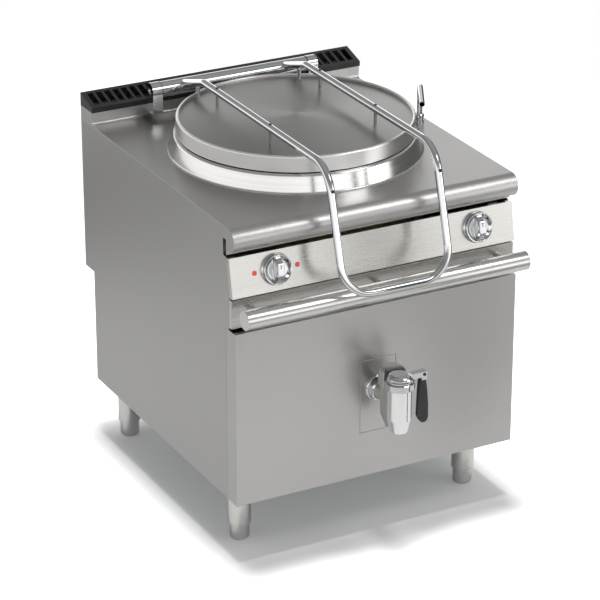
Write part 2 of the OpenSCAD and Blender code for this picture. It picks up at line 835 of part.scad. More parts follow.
module valve_plug() {
    color(chrome) from_front() translate([0, -valve_out, 0]) difference() {
        union() {
            translate([0, 0, chamber_z + face_fit]) cylinder(r = plug_r, h = plug_top - chamber_z - face_fit);
            translate([0, 0, plug_top - 1]) cylinder(r = stem_r, h = gland_top + 8 - plug_top + 1);
        }
        translate([0, 0, chamber_z - 1]) cylinder(r = plug_r - plug_wall, h = plug_top - chamber_z - 8);
        translate([0, 0, drain_z]) rotate([0, 90, 0]) cylinder(r = port_r, h = plug_r + 1);
    }
}

cap_r = 33;
lever_z = gland_top + face_fit;

module valve_lever() {
    color(chrome) from_front() translate([0, -valve_out, lever_z]) difference() {
        union() {
            rotate_extrude() polygon(concat([[0, 0], [cap_r, 0], [cap_r, 4]],
                arc(cap_r - cap_h + 4, 4, cap_h - 4, 15, 90), [[0, cap_h]]));
            box([0, -lever_w / 2, 0], [lever_l, lever_w / 2, lever_h]);
            box([lever_l - grip_t - 2, -lever_w / 2, -8], [lever_l, lever_w / 2, 1]);
        }
        translate([0, 0, -1]) cylinder(r = stem_r, h = 1 + gland_top + 8 - lever_z);
        translate([lever_l - grip_t / 2 - 1, lever_w / 2 + 1, lever_h / 2]) rotate([90, 0, 0])
            cylinder(r = screw_r, h = lever_w + 2);
        box([lever_l - grip_t - 1, -4, -9], [lever_l - 1, 4, lever_h - 3]);
    }
}

module valve_grip() {
    color(black_plastic) from_front() translate([lever_l - grip_t - 1, -valve_out, lever_z - 8]) {
        difference() {
            rotate([90, 0, 90]) linear_extrude(grip_t) polygon([[-lever_w / 2 - 1, 0], [-grip_w / 2, -grip_l + 22],
                [-grip_w / 2 + 3, -grip_l + 8], [-grip_w / 2 + 12, -grip_l], [grip_w / 2 - 12, -grip_l],
                [grip_w / 2 - 3, -grip_l + 8], [grip_w / 2, -grip_l + 22], [lever_w / 2 + 1, 0]]);
            // shallow finger flutes down the outer face
            for (y = [-6, 0, 6])
                translate([grip_t + 1.2, y, -grip_l + 16]) cylinder(r = 2, h = grip_l - 26, $fn = 24);
        }
        difference() {
            box([0, -4, -1], [grip_t, 4, 8 + lever_h - 3]);
            translate([grip_t / 2, 5, 8 + lever_h / 2]) rotate([90, 0, 0]) cylinder(r = screw_r, h = 10);
        }
    }
}

module lever_screw() {
    color(black_enamel) from_front() translate([lever_l - grip_t / 2 - 1, -valve_out, lever_z + lever_h / 2])
        rotate([90, 0, 0]) {
            translate([0, 0, -lever_w / 2]) cylinder(r = screw_r, h = lever_w);
            translate([0, 0, lever_w / 2]) cylinder(r = screw_head_r, h = screw_head_h);
        }
}

/* Flue */

flue_bend_r = 8;

module flue_box() {
    color(steel) from_front() {
        difference() {
            box([-half_w, flue_y, work_z], [half_w, cab_d, flue_top]);
            box([-half_w + sheet_t, flue_y + sheet_t, work_z - 1], [half_w - sheet_t, cab_d - sheet_t, flue_top + 1]);
        }
        // bend at the foot of the front face
        across(-half_w, half_w) difference() {
            translate([flue_y - flue_bend_r, work_z]) square([flue_bend_r + sheet_t / 2, flue_bend_r]);
            translate([flue_y - flue_bend_r, work_z + flue_bend_r]) circle(flue_bend_r);
        }
    }
}

module grille_outline(inset) {
    polygon([[flue_y - grille_over + inset, flue_top - (inset > 0 ? 1 : 0)],
        [flue_y - grille_over + inset, flue_top + grille_front_h - inset],
        [cab_d - inset, grille_top - inset * 1.05], [cab_d - inset, flue_top - (inset > 0 ? 1 : 0)]]);
}

grille_x = 0.5;
slot_margin = 14;
slot_front_in = 6;
slot_rear_in = 10;
slot_count = floor((half_w - grille_x - 2 * slot_margin) / slot_pitch);

module flue_grille() {
    difference() {
        across(grille_x, half_w) grille_outline(0);
        across(grille_x + grille_wall, half_w - grille_wall) grille_outline(grille_wall);
        for (i = [0:slot_count - 1])
            box([half_w - slot_margin - i * slot_pitch - slot_w, flue_y + slot_front_in, flue_top + 2],
                [half_w - slot_margin - i * slot_pitch, cab_d - slot_rear_in, grille_top + cut]);
    }
}

module flue_grilles() {
    color(black_enamel) from_front() mirrored_pair() flue_grille();
}

/* Lid hinge */

bracket_foot_z = flue_top - 15;
cap_split = hinge_z - 12;
bracket_back = flue_y - grille_over - 2;

module bracket_outline() {
    difference() {
        union() {
            translate([hinge_y - hinge_r, bracket_foot_z])
                square([bracket_back - hinge_y + hinge_r, hinge_z - bracket_foot_z]);
            translate([hinge_y - hinge_r, bracket_foot_z])
                square([flue_y - hinge_y + hinge_r, flue_top - 1 - bracket_foot_z]);
            translate([hinge_y, hinge_z]) circle(hinge_r + 1);
        }
        translate([hinge_y, hinge_z]) circle(shaft_r);
    }
}

// Lower halves of the hinge blocks, welded to the flue's front
module hinge_brackets() {
    color(bright_steel) from_front() mirrored_pair() across(bracket_x, bracket_out) intersection() {
        bracket_outline();
        square([2 * cab_d, cap_split]);
    }
}

// Rounded clamp that closes over the shaft on each bracket
module hinge_caps() {
    color(chrome) from_front() mirrored_pair() across(bracket_x, bracket_out) difference() {
        bracket_outline();
        square([2 * cab_d, cap_split]);
    }
}

module hinge_shaft() {
    color(bright_steel) from_front() translate([-bracket_out + 3, hinge_y, hinge_z]) rotate([0, 90, 0])
        cylinder(r = shaft_r, h = 2 * bracket_out - 6);
}

tube_half = bracket_x - hinge_gap;

module hinge_tube() {
    color(chrome) from_front() translate([-tube_half, hinge_y, hinge_z]) rotate([0, 90, 0])
        ring(hinge_r, hinge_r - hinge_wall, 2 * tube_half);
}

module hinge_bushes() {
    color(black_plastic) from_front() mirrored_pair() translate([tube_half - bush_l, hinge_y, hinge_z])
        rotate([0, 90, 0]) ring(hinge_r - hinge_wall, shaft_r + run_fit, bush_l);
}

/* Lid */

// Upper line of the lid's sheet, inset by its thickness for the lower line
function lid_line(inset) = concat(
    [[lid_r - inset, lid_z]],
    arc(lid_r - bead_r, lid_top - bead_r, bead_r - inset, 0, 180, 8),
    [[lid_r - 2 * bead_r + inset, dome_z - inset]],
    [for (i = [0:8]) let (r = dome_r * (1 - i / 8)) [r, dome_z - inset + dome_rise * (1 - pow(r / dome_r, 2))]]);

module lid_shell() {
    color(bright_steel) from_front() translate([0, pan_y, 0]) rotate_extrude($fn = 180)
        polygon(concat(lid_line(0), flipped(lid_line(lid_t))));
}

module lid_liner() {
    color(bright_steel) from_front() translate([0, pan_y, lid_z]) rotate_extrude($fn = 180)
        polygon([[0, drip_rise], [pan_r - 20, 0], [lid_r - lid_t, 0], [lid_r - lid_t, 1],
            [pan_r - 20, 1], [0, drip_rise + 1]]);
}

rear_y = pan_y + arm_rear_y;
rear_bend_r = 30;
tube_seat = 1;
tube_hair = 0.1;
arm_end_up = 5.8; // height at which an arm's axis meets the hinge, above the hinge's axis
slope = atan((arm_z - hinge_z - arm_end_up) / (hinge_y - rear_y));
slope_l = (hinge_y - rear_y) / cos(slope) - rear_bend_r * sin(slope);
lean = 90 - front_turn;

// Straight length of tube. It seats a little way into the bends, and is thinner by a hair, so that no two faces
// of the joint lie in each other
module tube_piece(length) {
    translate([0, 0, -tube_seat]) ring(bar_r - tube_hair, bar_r - bar_wall + tube_hair, length + 2 * tube_seat);
}

// A bend starts at the local origin along +z and turns towards +x
module tube_bend(radius, turn) {
    translate([radius, 0, 0]) rotate([-90, 0, 0]) rotate([0, 0, 180]) rotate_extrude(angle = turn)
        translate([radius, 0]) difference() {
            circle(bar_r);
            circle(bar_r - bar_wall);
        }
}

// Works at the lower end of the front bend, with +z down the leaning drop
module at_drop() {
    translate([0, arm_front_y - front_bend_r * sin(front_turn), arm_z - front_bend_r * (1 - cos(front_turn))])
        rotate([180 - lean, 0, 0]) children();
}

// One half of the handle, without the bottom bar
module handle_half() {
    translate([arm_x, arm_front_y, arm_z]) {
        rotate([-90, 0, 0]) tube_piece(rear_y - arm_front_y);
        rotate([90, 90, 0]) tube_bend(front_bend_r, front_turn);
    }
    at_drop() translate([arm_x, 0, 0]) {
        tube_piece(drop_l - corner_r);
        translate([0, 0, drop_l - corner_r]) rotate([0, 0, 180]) tube_bend(corner_r, 90);
    }
    // small bend and sloping rear end, cut to the hinge tube
    difference() {
        translate([arm_x, rear_y, arm_z]) {
            rotate([-90, 90, 0]) tube_bend(rear_bend_r, slope);
            translate([0, rear_bend_r * sin(slope), -rear_bend_r * (1 - cos(slope))])
                rotate([-90 - slope, 0, 0]) tube_piece(slope_l);
        }
        translate([arm_x - 20, hinge_y, hinge_z]) rotate([0, 90, 0]) cylinder(r = hinge_r, h = 40);
    }
}

module stud_spots() {
    for (x = [-arm_x, arm_x]) for (y = [-stud_y, stud_y]) translate([x, pan_y + y, 0]) children();
}

module lid_handle() {
    color(chrome) from_front() difference() {
        union() {
            mirrored_pair() handle_half();
            at_drop() translate([corner_r - arm_x, 0, drop_l]) rotate([0, 90, 0]) tube_piece(2 * (arm_x - corner_r));
        }
        stud_spots() translate([0, 0, arm_z - bar_r - 5]) cylinder(r = screw_r, h = 2 * bar_r + 10);
    }
}

// Studs between the lid and the arms, and the two rear rests
module handle_studs() {
    color(chrome) from_front() difference() {
        union() {
            stud_spots() translate([0, 0, lid_z + 5]) cylinder(r = stud_r, h = arm_z - lid_z - 5);
            mirrored_pair() translate([arm_x, rest_y, lid_z + 5]) cylinder(r = stud_r + 2, h = arm_z - lid_z - 5);
        }
        translate([0, pan_y, 0]) rotate_extrude($fn = 180) polygon(concat([[0, 0], [lid_r, 0]], lid_line(0)));
        mirrored_pair() {
            translate([arm_x, arm_front_y, arm_z]) rotate([-90, 0, 0]) cylinder(r = bar_r, h = rear_y - arm_front_y);
            translate([arm_x, rear_y, arm_z]) rotate([-90 - slope, 0, 0]) {
                cylinder(r = bar_r, h = slope_l);
                translate([-2 * bar_r, -10 * bar_r, 0]) cube([4 * bar_r, 9.7 * bar_r, slope_l]);
            }
        }
        stud_spots() translate([0, 0, arm_z - bar_r - screw_in]) cylinder(r = screw_r, h = 40);
    }
}

rest_y = pan_y + sqrt(pow(lid_r - bead_r, 2) - pow(arm_x, 2));

screw_in = 12;
screw_head_r = 4;
screw_head_h = 1.6;

module handle_screws() {
    color(black_enamel) from_front() stud_spots() {
        translate([0, 0, arm_z - bar_r - screw_in]) cylinder(r = screw_r, h = 2 * bar_r + screw_in);
        translate([0, 0, arm_z + bar_r]) cylinder(r = screw_head_r, h = screw_head_h);
    }
}

/* Controls */

knob_skirt_h = 6.2;
knob_groove_r = knob_r - 6.5;
knob_body_h = 17;
knob_hollow_h = 8;
knob_hollow_r = 21;
knob_bore_l = 12;

// Flat skirt with a turned groove, and the body that rises inside it
module knob_body() {
    rotate_extrude() polygon(concat([[0, face_fit], [knob_r, face_fit]],
        arc(knob_r - 3, knob_skirt_h - 3, 3, 0, 90, 4),
        [[knob_groove_r + 2, knob_skirt_h], [knob_groove_r + 1, 2.2], [knob_groove_r, 2.2],
            [knob_groove_r - 1.5, knob_body_h - 5]],
        arc(knob_groove_r - 4.5, knob_body_h - 3, 3, 10, 90, 4), [[0, knob_body_h]]));
}

// Upright grip across the knob, with ends that slope down to the groove
module knob_grip() {
    intersection() {
        rotate_extrude() polygon([[0, 1], [knob_groove_r - 2, 1], [knob_groove_r - 2, knob_body_h - 4],
            [knob_groove_r - 17, knob_h], [0, knob_h]]);
        rotate([90, 0, 0]) translate([0, 0, -knob_r]) linear_extrude(2 * knob_r) polygon([[-knob_grip_w / 2 - 3, 1],
            [knob_grip_w / 2 + 3, 1], [knob_grip_w / 2, knob_h - 2], [knob_grip_w / 2 - 2, knob_h],
            [2 - knob_grip_w / 2, knob_h], [-knob_grip_w / 2, knob_h - 2]]);
    }
}

// Chrome knob: the grip stands between two scooped finger hollows
module knob() {
    difference() {
        union() {
            difference() {
                knob_body();
                mirrored_pair() translate([knob_grip_w / 2 + 8, knob_r, knob_hollow_h + knob_hollow_r])
                    rotate([90, 0, 0]) cylinder(r = knob_hollow_r, h = 2 * knob_r);
            }
            knob_grip();
        }
        translate([0, 0, -cut]) cylinder(r = spindle_r, h = knob_bore_l + cut);
    }
}

spindle_back = 30;

module spindle() {
    translate([0, 0, -spindle_back]) cylinder(r = spindle_r, h = spindle_back + knob_bore_l);
}

case_neck = 4;
case_bore = spindle_back + 10;

// Threaded neck and case of a control behind the panel
module control_case(wide, deep) {
    difference() {
        union() {
            translate([0, 0, -sheet_t - case_neck]) cylinder(r = bush_hole_r, h = sheet_t + case_neck);
            translate([-wide / 2, -wide / 2, -sheet_t - deep]) cube([wide, wide, deep]);
        }
        translate([0, 0, -case_bore]) cylinder(r = spindle_r + run_fit, h = case_bore + cut);
    }
}

switch_w = 46;
switch_deep = 36;
lamp_l = 24;
lamp_bore_in = 1.5;

module heat_knob() {
    color(chrome) from_front() on_panel(-knob_left_x, knob_up) knob();
}

module heat_spindle() {
    color(galvanised) from_front() on_panel(-knob_left_x, knob_up) spindle();
}

module heat_switch() {
    color(black_plastic) from_front() on_panel(-knob_left_x, knob_up) control_case(switch_w, switch_deep);
}

module water_knob() {
    color(chrome) from_front() on_panel(knob_right_x, knob_up) knob();
}

module water_spindle() {
    color(galvanised) from_front() on_panel(knob_right_x, knob_up) spindle();
}

module water_tap() {
    color(copper) from_front() on_panel(knob_right_x, knob_up) control_case(tap_w, tap_deep);
}

module pilot_lamps() {
    color(red_lens) from_front() for (side = [-1, 1])
        on_panel(-knob_left_x + side * lamp_off, knob_up) {
            rotate_extrude() polygon(concat([[0, 0], [lamp_r, 0]], arc(lamp_r - 2, 0, 2, 0, 90, 4), [[0, 2.6]]));
            translate([0, 0, -lamp_l]) cylinder(r = lamp_r - lamp_bore_in, h = lamp_l + 0.01);
        }
}

/* Water */

spout_stem_h = 22;

module spout_base() {
    color(chrome) from_front() translate([spout_x, spout_y, work_z]) difference() {
        union() {
            rotate_extrude() polygon([[0, 0], [spout_base_r, 0], [spout_base_r, 3], [spout_base_r - 2, 5],
                [spout_base_r - 2, spout_base_h], [0, spout_base_h]]);
            translate([0, 0, -spout_stem_h]) cylinder(r = spout_hole_r, h = spout_stem_h + 1);
        }
        translate([0, 0, -spout_stem_h - 1]) cylinder(r = spout_r - spout_wall, h = spout_stem_h + spout_base_h + 2);
    }
}

// Bent outlet tube with its swivel ring at the foot, parked just clear of the lid's path
module water_spout() {
    swivel_z = work_z + spout_base_h + face_fit;
    color(chrome) from_front() translate([spout_x, spout_y, swivel_z]) rotate([0, 0, -spout_park]) {
        difference() {
            rotate_extrude() polygon([[0, 0], [spout_base_r - 1, 0], [spout_base_r, 1.5], [spout_base_r, 7],
                [spout_base_r - 2, 10], [0, 10]]);
            translate([0, 0, -1]) cylinder(r = spout_r - spout_wall, h = 20);
        }
        translate([0, 0, 9]) ring(spout_r, spout_r - spout_wall, spout_rise - 9);
        translate([0, 0, spout_rise]) rotate([0, 0, -90]) spout_bend();
        translate([0, -spout_bend_r, spout_rise + spout_bend_r]) rotate([90, 0, 0])
            ring(spout_r, spout_r - spout_wall, spout_l - spout_bend_r);
    }
}

spout_rise = spout_h - spout_bend_r - spout_base_h - face_fit;

module spout_bend() {
    translate([spout_bend_r, 0, 0]) rotate([-90, 0, 0]) rotate([0, 0, 180]) rotate_extrude(angle = 90)
        translate([spout_bend_r, 0]) difference() {
            circle(spout_r);
            circle(spout_r - spout_wall);
        }
}

water_r = 6;
elbow_r = water_r + 1.5;
water_drop = 60;
pipe_gap = 2;
tap_w = 34;
tap_deep = 40;
tap_stub = 30;
tap_reach = sheet_t + tap_deep + tap_stub;
tap_end_y = panel_y + knob_up * sin(panel_tilt) + tap_reach * cos(panel_tilt);
tap_end_z = panel_z + knob_up * cos(panel_tilt) - tap_reach * sin(panel_tilt);
water_run_x = pan_out + lagging_t + water_r + pipe_gap;
water_run_z = work_z - spout_stem_h - water_drop;

// One straight length of pipe between two points that differ along one axis, with a soldered elbow at its end
module water_length(from, to) {
    way = to - from;
    translate(from) rotate([way[1] != 0 ? -90 : 0, way[0] != 0 ? 90 : 0, 0]) cylinder(r = water_r, h = norm(way));
    translate(to) sphere(r = elbow_r, $fn = 48);
}

// Copper pipe from the tap, along the side of the pan and up to the foot of the spout
module water_pipe() {
    tap = [knob_right_x, tap_end_y, tap_end_z];
    rise = [knob_right_x, tap_end_y, water_run_z];
    front = [water_run_x, tap_end_y, water_run_z];
    side = [water_run_x, spout_y, water_run_z];
    below = [spout_x, spout_y, water_run_z];
    color(copper) from_front() {
        on_panel(knob_right_x, knob_up) translate([0, 0, -tap_reach]) {
            cylinder(r = water_r, h = tap_stub);
            sphere(r = elbow_r, $fn = 48);
        }
        translate(tap) cylinder(r = water_r, h = water_run_z - tap_end_z);
        translate(rise) sphere(r = elbow_r, $fn = 48);
        water_length(rise, front);
        water_length(front, side);
        water_length(side, below);
        translate(below) cylinder(r = water_r, h = work_z - spout_stem_h - water_run_z);
    }
}

module water_inlet() {
    color(copper) from_front() translate([inlet_x, lower_back - sheet_t, inlet_z]) rotate([-90, 0, 0]) {
        difference() {
            union() {
                translate([0, 0, -inlet_in]) cylinder(r = inlet_r, h = inlet_in + sheet_t + inlet_out);
                translate([0, 0, -6]) cylinder(r = inlet_nut_r, h = 6, $fn = 6);
                translate([0, 0, sheet_t]) cylinder(r = inlet_nut_r, h = 5, $fn = 6);
            }
            translate([0, 0, -inlet_in - cut]) cylinder(r = inlet_r - 3, h = inlet_in + sheet_t + inlet_out + 2 * cut);
        }
        ring(inlet_hole_r, inlet_r, sheet_t);
    }
}

/* Feet */

sleeve_nut_z = 90;
foot_round = 8;
cup_h = 70;
stem_short = 17;

module foot_sleeves() {
    color(steel) from_front() foot_spots() difference() {
        translate([0, 0, foot_h]) cylinder(r = sleeve_r, h = base_z - foot_h);
        translate([0, 0, foot_h - 1]) cylinder(r = foot_r + face_fit + 0.1, h = sleeve_nut_z - foot_h + 1);
        translate([0, 0, sleeve_nut_z - 1]) cylinder(r = foot_stem_r + run_fit, h = base_z);
    }
}

// Adjustable foot: a cup with a rounded lower edge on a threaded stem
module foot(x, y) {
    color(steel) from_front() translate([x, y, 0]) {
        rotate_extrude() polygon(concat([[0, 0]], arc(foot_r - foot_round, foot_round, foot_round, -90, 0),
            [[foot_r, cup_h], [0, cup_h]]));
        translate([0, 0, cup_h - 1]) cylinder(r = foot_stem_r, h = base_z - stem_short - cup_h + 1);
    }
}

module foot_front_left() {
    foot(-foot_x, foot_front_y);
}

module foot_front_right() {
    foot(foot_x, foot_front_y);
}

module foot_rear_left() {
    foot(-foot_x, foot_rear_y);
}

module foot_rear_right() {
    foot(foot_x, foot_rear_y);
}

/* Electrical parts */

inner_back = lower_back - sheet_t;
block_size = [80, 24, 34];
block_poles = 5;
pole_r = 4;
block_z = inlet_z - 68;

// Ceramic terminals, screwed to the inside of the rear panel below the gland
module terminal_block() {
    pitch = block_size[0] / block_poles;
    pole_deep = 14;
    color(ceramic) from_front() translate([gland_x - block_size[0] / 2, inner_back - block_size[1], block_z])
        difference() {
            cube(block_size);
            for (i = [0:block_poles - 1])
                translate([pitch * (i + 0.5), block_size[1] / 2, block_size[2] - pole_deep])
                    cylinder(r = pole_r, h = pole_deep + cut, $fn = 24);
        }
}

contactor_size = [46, 60, 70];
coil_size = [34, 14, 54];
coil_place = (contactor_size - coil_size) / 2;
contactor_x = gland_x + block_size[0] / 2 + 14;

// Contactor, screwed to the inside of the rear panel beside the terminals
module contactor() {
    color(black_plastic) from_front() translate([contactor_x, inner_back - contactor_size[1], block_z]) {
        cube(contactor_size);
        translate([coil_place[0], -coil_size[1], coil_place[2]]) cube(coil_size);
    }
}

module cable_gland() {
    color(black_plastic) from_front() translate([gland_x, lower_back - sheet_t, inlet_z]) rotate([-90, 0, 0]) {
        difference() {
            union() {
                translate([0, 0, -gland_in]) cylinder(r = gland_r_out, h = gland_in + sheet_t + gland_out);
                translate([0, 0, -8]) cylinder(r = gland_nut_r, h = 8, $fn = 6);
                translate([0, 0, sheet_t]) cylinder(r = gland_nut_r, h = 7, $fn = 6);
            }
            translate([0, 0, -gland_in - cut]) cylinder(r = cord_r, h = gland_in + sheet_t + gland_out + 2 * cut);
        }
    }
}

worktop();
pan_collar();
side_panel_left();
side_panel_right();
front_panel();
control_panel();
rail_strip();
rear_upper_panel();
rear_lower_panel();
bottom_tray();
base_frame();
grab_rail();
rail_end_caps();
rail_spacers();
pan_vessel();
pan_insulation();
heating_elements();
element_clamp_plate();
drain_pipe();
drain_strainer();
valve_plate();
valve_rosette();
valve_nut();
valve_body();
valve_gland_ring();
valve_plug();
valve_lever();
valve_grip();
lever_screw();
flue_box();
flue_grilles();
hinge_brackets();
hinge_caps();
hinge_shaft();
hinge_tube();
hinge_bushes();
lid_shell();
lid_liner();
lid_handle();
handle_studs();
handle_screws();
heat_knob();
heat_spindle();
heat_switch();
water_knob();
water_spindle();
water_tap();
pilot_lamps();
spout_base();
water_spout();
water_pipe();
water_inlet();
foot_sleeves();
foot_front_left();
foot_front_right();
foot_rear_left();
foot_rear_right();
terminal_block();
contactor();
cable_gland();
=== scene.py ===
import math

import bmesh
import bpy
from mathutils import Matrix, Vector


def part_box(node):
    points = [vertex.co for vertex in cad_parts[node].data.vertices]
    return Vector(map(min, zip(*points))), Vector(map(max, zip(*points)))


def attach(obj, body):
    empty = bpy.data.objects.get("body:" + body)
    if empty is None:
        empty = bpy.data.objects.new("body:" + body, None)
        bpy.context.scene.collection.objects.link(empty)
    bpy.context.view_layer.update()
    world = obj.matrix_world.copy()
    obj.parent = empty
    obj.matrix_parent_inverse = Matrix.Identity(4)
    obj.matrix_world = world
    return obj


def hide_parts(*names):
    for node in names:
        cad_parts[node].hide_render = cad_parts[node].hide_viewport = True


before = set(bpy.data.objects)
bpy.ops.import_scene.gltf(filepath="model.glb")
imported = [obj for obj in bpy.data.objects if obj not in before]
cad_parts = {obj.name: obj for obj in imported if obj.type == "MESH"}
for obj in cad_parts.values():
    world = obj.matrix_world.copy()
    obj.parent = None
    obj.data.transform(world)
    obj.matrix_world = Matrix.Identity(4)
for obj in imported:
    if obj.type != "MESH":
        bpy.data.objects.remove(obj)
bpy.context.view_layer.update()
scene = bpy.context.scene
scene.view_settings.view_transform = "Standard"

# Camera. The viewing angle was solved from the cabinet's edges: it stands to the front left,
# about 7.7 m from the cabinet's middle and above the worktop, with a long lens.
lens = bpy.data.cameras.new("camera")
lens.lens = 175.8
lens.sensor_width = 36
lens.dof.use_dof = False
camera = bpy.data.objects.new("camera", lens)
camera.location = (-3.2849, -6.1686, 3.6095)
camera.rotation_euler = (math.radians(65.98), 0, math.radians(-27.87))
scene.collection.objects.link(camera)
scene.camera = camera

# Studio floor. A matt white sheet keeps the soft shadow under the cabinet and fades to a plain
# white background; its glow is dimmed over the footprint, a painted shadow. Round it the floor is
# coloured darker, painted shade for the light falling off, and a grey cloth lies on it to the front right.
floor_radius = 3.2
floor_sides = 96
# half the width and depth of the shadow's core, where the floor's glow is dimmed as a painted
# shadow, and how far outside it the glow is full
painted_shadow_half = (0.36, 0.40, 0)
glow_reach = 0.22
# the white sheet fades out between these distances outside the shadow's core, to a darker colour
# that is painted shade for the light falling off
sheet_edge = (0.8, 1.9)
# the cloth is a wedge: it starts in front of the cabinet and runs this far aside for each metre
# ahead, with soft edges along its sides and at its near and far ends
cloth_start = 0.4
cloth_slope = 1.04
cloth_sides = (0.10, 0.22)
cloth_near = (0.35, 0.55)
cloth_far = (0.85, 1.15)


def linear(hex_colour):
    """An sRGB hex value as linear red, green, blue and alpha."""
    parts = [int(hex_colour[i : i + 2], 16) / 255 for i in (1, 3, 5)]
    return [c / 12.92 if c <= 0.04045 else ((c + 0.055) / 1.055) ** 2.4 for c in parts] + [1]


def add(tree, kind, settings=None, links=None):
    """Adds a node with its settings and input values, and links other sockets into its inputs."""
    node = tree.nodes.new(kind)
    for key, value in (settings or {}).items():
        if hasattr(node, str(key)):
            setattr(node, key, value)
        else:
            node.inputs[key].default_value = value
    for key, socket in (links or {}).items():
        tree.links.new(socket, node.inputs[key])
    return node


def new_material(name):
    """An empty material, its tree and its output node."""
    material = bpy.data.materials.new(name)
    material.use_nodes = True
    tree = material.node_tree
    tree.nodes.clear()
    return material, tree, add(tree, "ShaderNodeOutputMaterial")


# matt white has no gloss, so the eye sees the shadow on it and nothing else
floor_white, tree, output = new_material("matt white studio floor")
path = add(tree, "ShaderNodeLightPath")
place = add(tree, "ShaderNodeTexCoord")
size = add(tree, "ShaderNodeVectorMath", {"operation": "ABSOLUTE"}, {0: place.outputs["Object"]})
past = add(tree, "ShaderNodeVectorMath", {"operation": "SUBTRACT", 1: painted_shadow_half}, {0: size.outputs[0]})
kept = add(tree, "ShaderNodeVectorMath", {"operation": "MAXIMUM", 1: (0, 0, 0)}, {0: past.outputs[0]})
away = add(tree, "ShaderNodeVectorMath", {"operation": "LENGTH"}, {0: kept.outputs[0]})
soft_step = {"interpolation_type": "SMOOTHSTEP"}
# to the camera the floor is plain white from 220 mm outside the shadow's core; within, its glow
# is dimmed, a painted shadow that the real shadow darkens further
glow_with_painted_shadow = add(
    tree,
    "ShaderNodeMapRange",
    soft_step | {"From Min": 0.0, "From Max": glow_reach, "To Min": 0.10, "To Max": 1.0},
    {0: away.outputs["Value"]},
)
# where the sheet ends the floor is coloured darker, painted shade for the light falling off far
# from the lamps, and the metal mirrors it as contrast
floor_tone_with_painted_falloff = add(
    tree,
    "ShaderNodeMapRange",
    soft_step | {"From Min": sheet_edge[0], "From Max": sheet_edge[1], "To Min": 0.80, "To Max": 0.22},
    {0: away.outputs["Value"]},
)
matt = add(tree, "ShaderNodeBsdfDiffuse", {}, {"Color": floor_tone_with_painted_falloff.outputs[0]})
# upright chrome mirrors the grey cloth as a dark stripe
spot = add(tree, "ShaderNodeSeparateXYZ", {}, {0: place.outputs["Object"]})
ahead = add(
    tree, "ShaderNodeMath", {"operation": "MULTIPLY_ADD", 1: -1.0, 2: -cloth_start}, {0: spot.outputs["Y"]}
)
near = add(tree, "ShaderNodeMath", {"operation": "MAXIMUM", 1: 0.01}, {0: ahead.outputs[0]})
side = add(tree, "ShaderNodeMath", {"operation": "DIVIDE"}, {0: spot.outputs["X"], 1: near.outputs[0]})
off = add(tree, "ShaderNodeMath", {"operation": "SUBTRACT", 1: cloth_slope}, {0: side.outputs[0]})
width = add(tree, "ShaderNodeMath", {"operation": "ABSOLUTE"}, {0: off.outputs[0]})
within = add(
    tree,
    "ShaderNodeMapRange",
    soft_step | {"From Min": cloth_sides[0], "From Max": cloth_sides[1], "To Min": 1.0, "To Max": 0.0},
    {0: width.outputs[0]},
)
beyond = add(
    tree,
    "ShaderNodeMapRange",
    soft_step | {"From Min": cloth_near[0], "From Max": cloth_near[1]},
    {0: ahead.outputs[0]},
)
until = add(
    tree,
    "ShaderNodeMapRange",
    soft_step | {"From Min": cloth_far[0], "From Max": cloth_far[1], "To Min": 1.0, "To Max": 0.0},
    {0: ahead.outputs[0]},
)
strip = add(tree, "ShaderNodeMath", {"operation": "MULTIPLY"}, {0: beyond.outputs[0], 1: until.outputs[0]})
cloth = add(tree, "ShaderNodeMath", {"operation": "MULTIPLY"}, {0: within.outputs[0], 1: strip.outputs[0]})
grey = add(tree, "ShaderNodeBsdfDiffuse", {"Color": linear("#383838")})
laid = add(tree, "ShaderNodeMixShader", {}, {0: cloth.outputs[0], 1: matt.outputs[0], 2: grey.outputs[0]})
# the glow's strength is the painted shadow: dim over the footprint, full white further out
glow = add(tree, "ShaderNodeEmission", {"Color": linear("#ffffff")}, {"Strength": glow_with_painted_shadow.outputs[0]})
both = add(tree, "ShaderNodeAddShader", {}, {0: matt.outputs[0], 1: glow.outputs[0]})
seen = add(
    tree,
    "ShaderNodeMixShader",
    {},
    {0: path.outputs["Is Camera Ray"], 1: laid.outputs[0], 2: both.outputs[0]},
)
tree.links.new(seen.outputs[0], output.inputs["Surface"])

bm = bmesh.new()
bmesh.ops.create_circle(bm, cap_ends=True, segments=floor_sides, radius=floor_radius)
floor_mesh = bpy.data.meshes.new("floor")
bm.to_mesh(floor_mesh)
bm.free()
floor_mesh.materials.append(floor_white)
floor = bpy.data.objects.new("floor", floor_mesh)
scene.collection.objects.link(floor)

# Studio light. A white cloth tent that is bright round the horizon and dim overhead, a lamp
# straight above for the shadow, soft boxes behind, in front and to the right, and two grey flags
# that darken what the control panel and the collar mirror.
world = bpy.data.worlds.new("studio")
world.use_nodes = True
scene.world = world
tree = world.node_tree
tree.nodes.clear()
way = add(tree, "ShaderNodeTexCoord")
parts = add(tree, "ShaderNodeSeparateXYZ", {}, {0: way.outputs["Generated"]})
height = add(tree, "ShaderNodeMapRange", {"From Min": -1.0, "From Max": 1.0}, {0: parts.outputs["Z"]})
tiers = add(tree, "ShaderNodeValToRGB", {}, {0: height.outputs[0]})
# the tent's brightness by height, from straight down at 0 over the horizon at 0.5 to overhead at 1
ramp = tiers.color_ramp
ramp.interpolation = "EASE"
ramp.elements[0].position = 0.36
ramp.elements[0].color = (0.70, 0.70, 0.70, 1)
ramp.elements[1].position = 1.0
ramp.elements[1].color = (0.42, 0.42, 0.42, 1)
for stop, level in ((0.41, 1.0), (0.47, 1.5), (0.54, 1.8), (0.61, 1.0), (0.68, 0.42), (0.86, 0.30)):
    ramp.elements.new(stop).color = (level, level, level, 1)
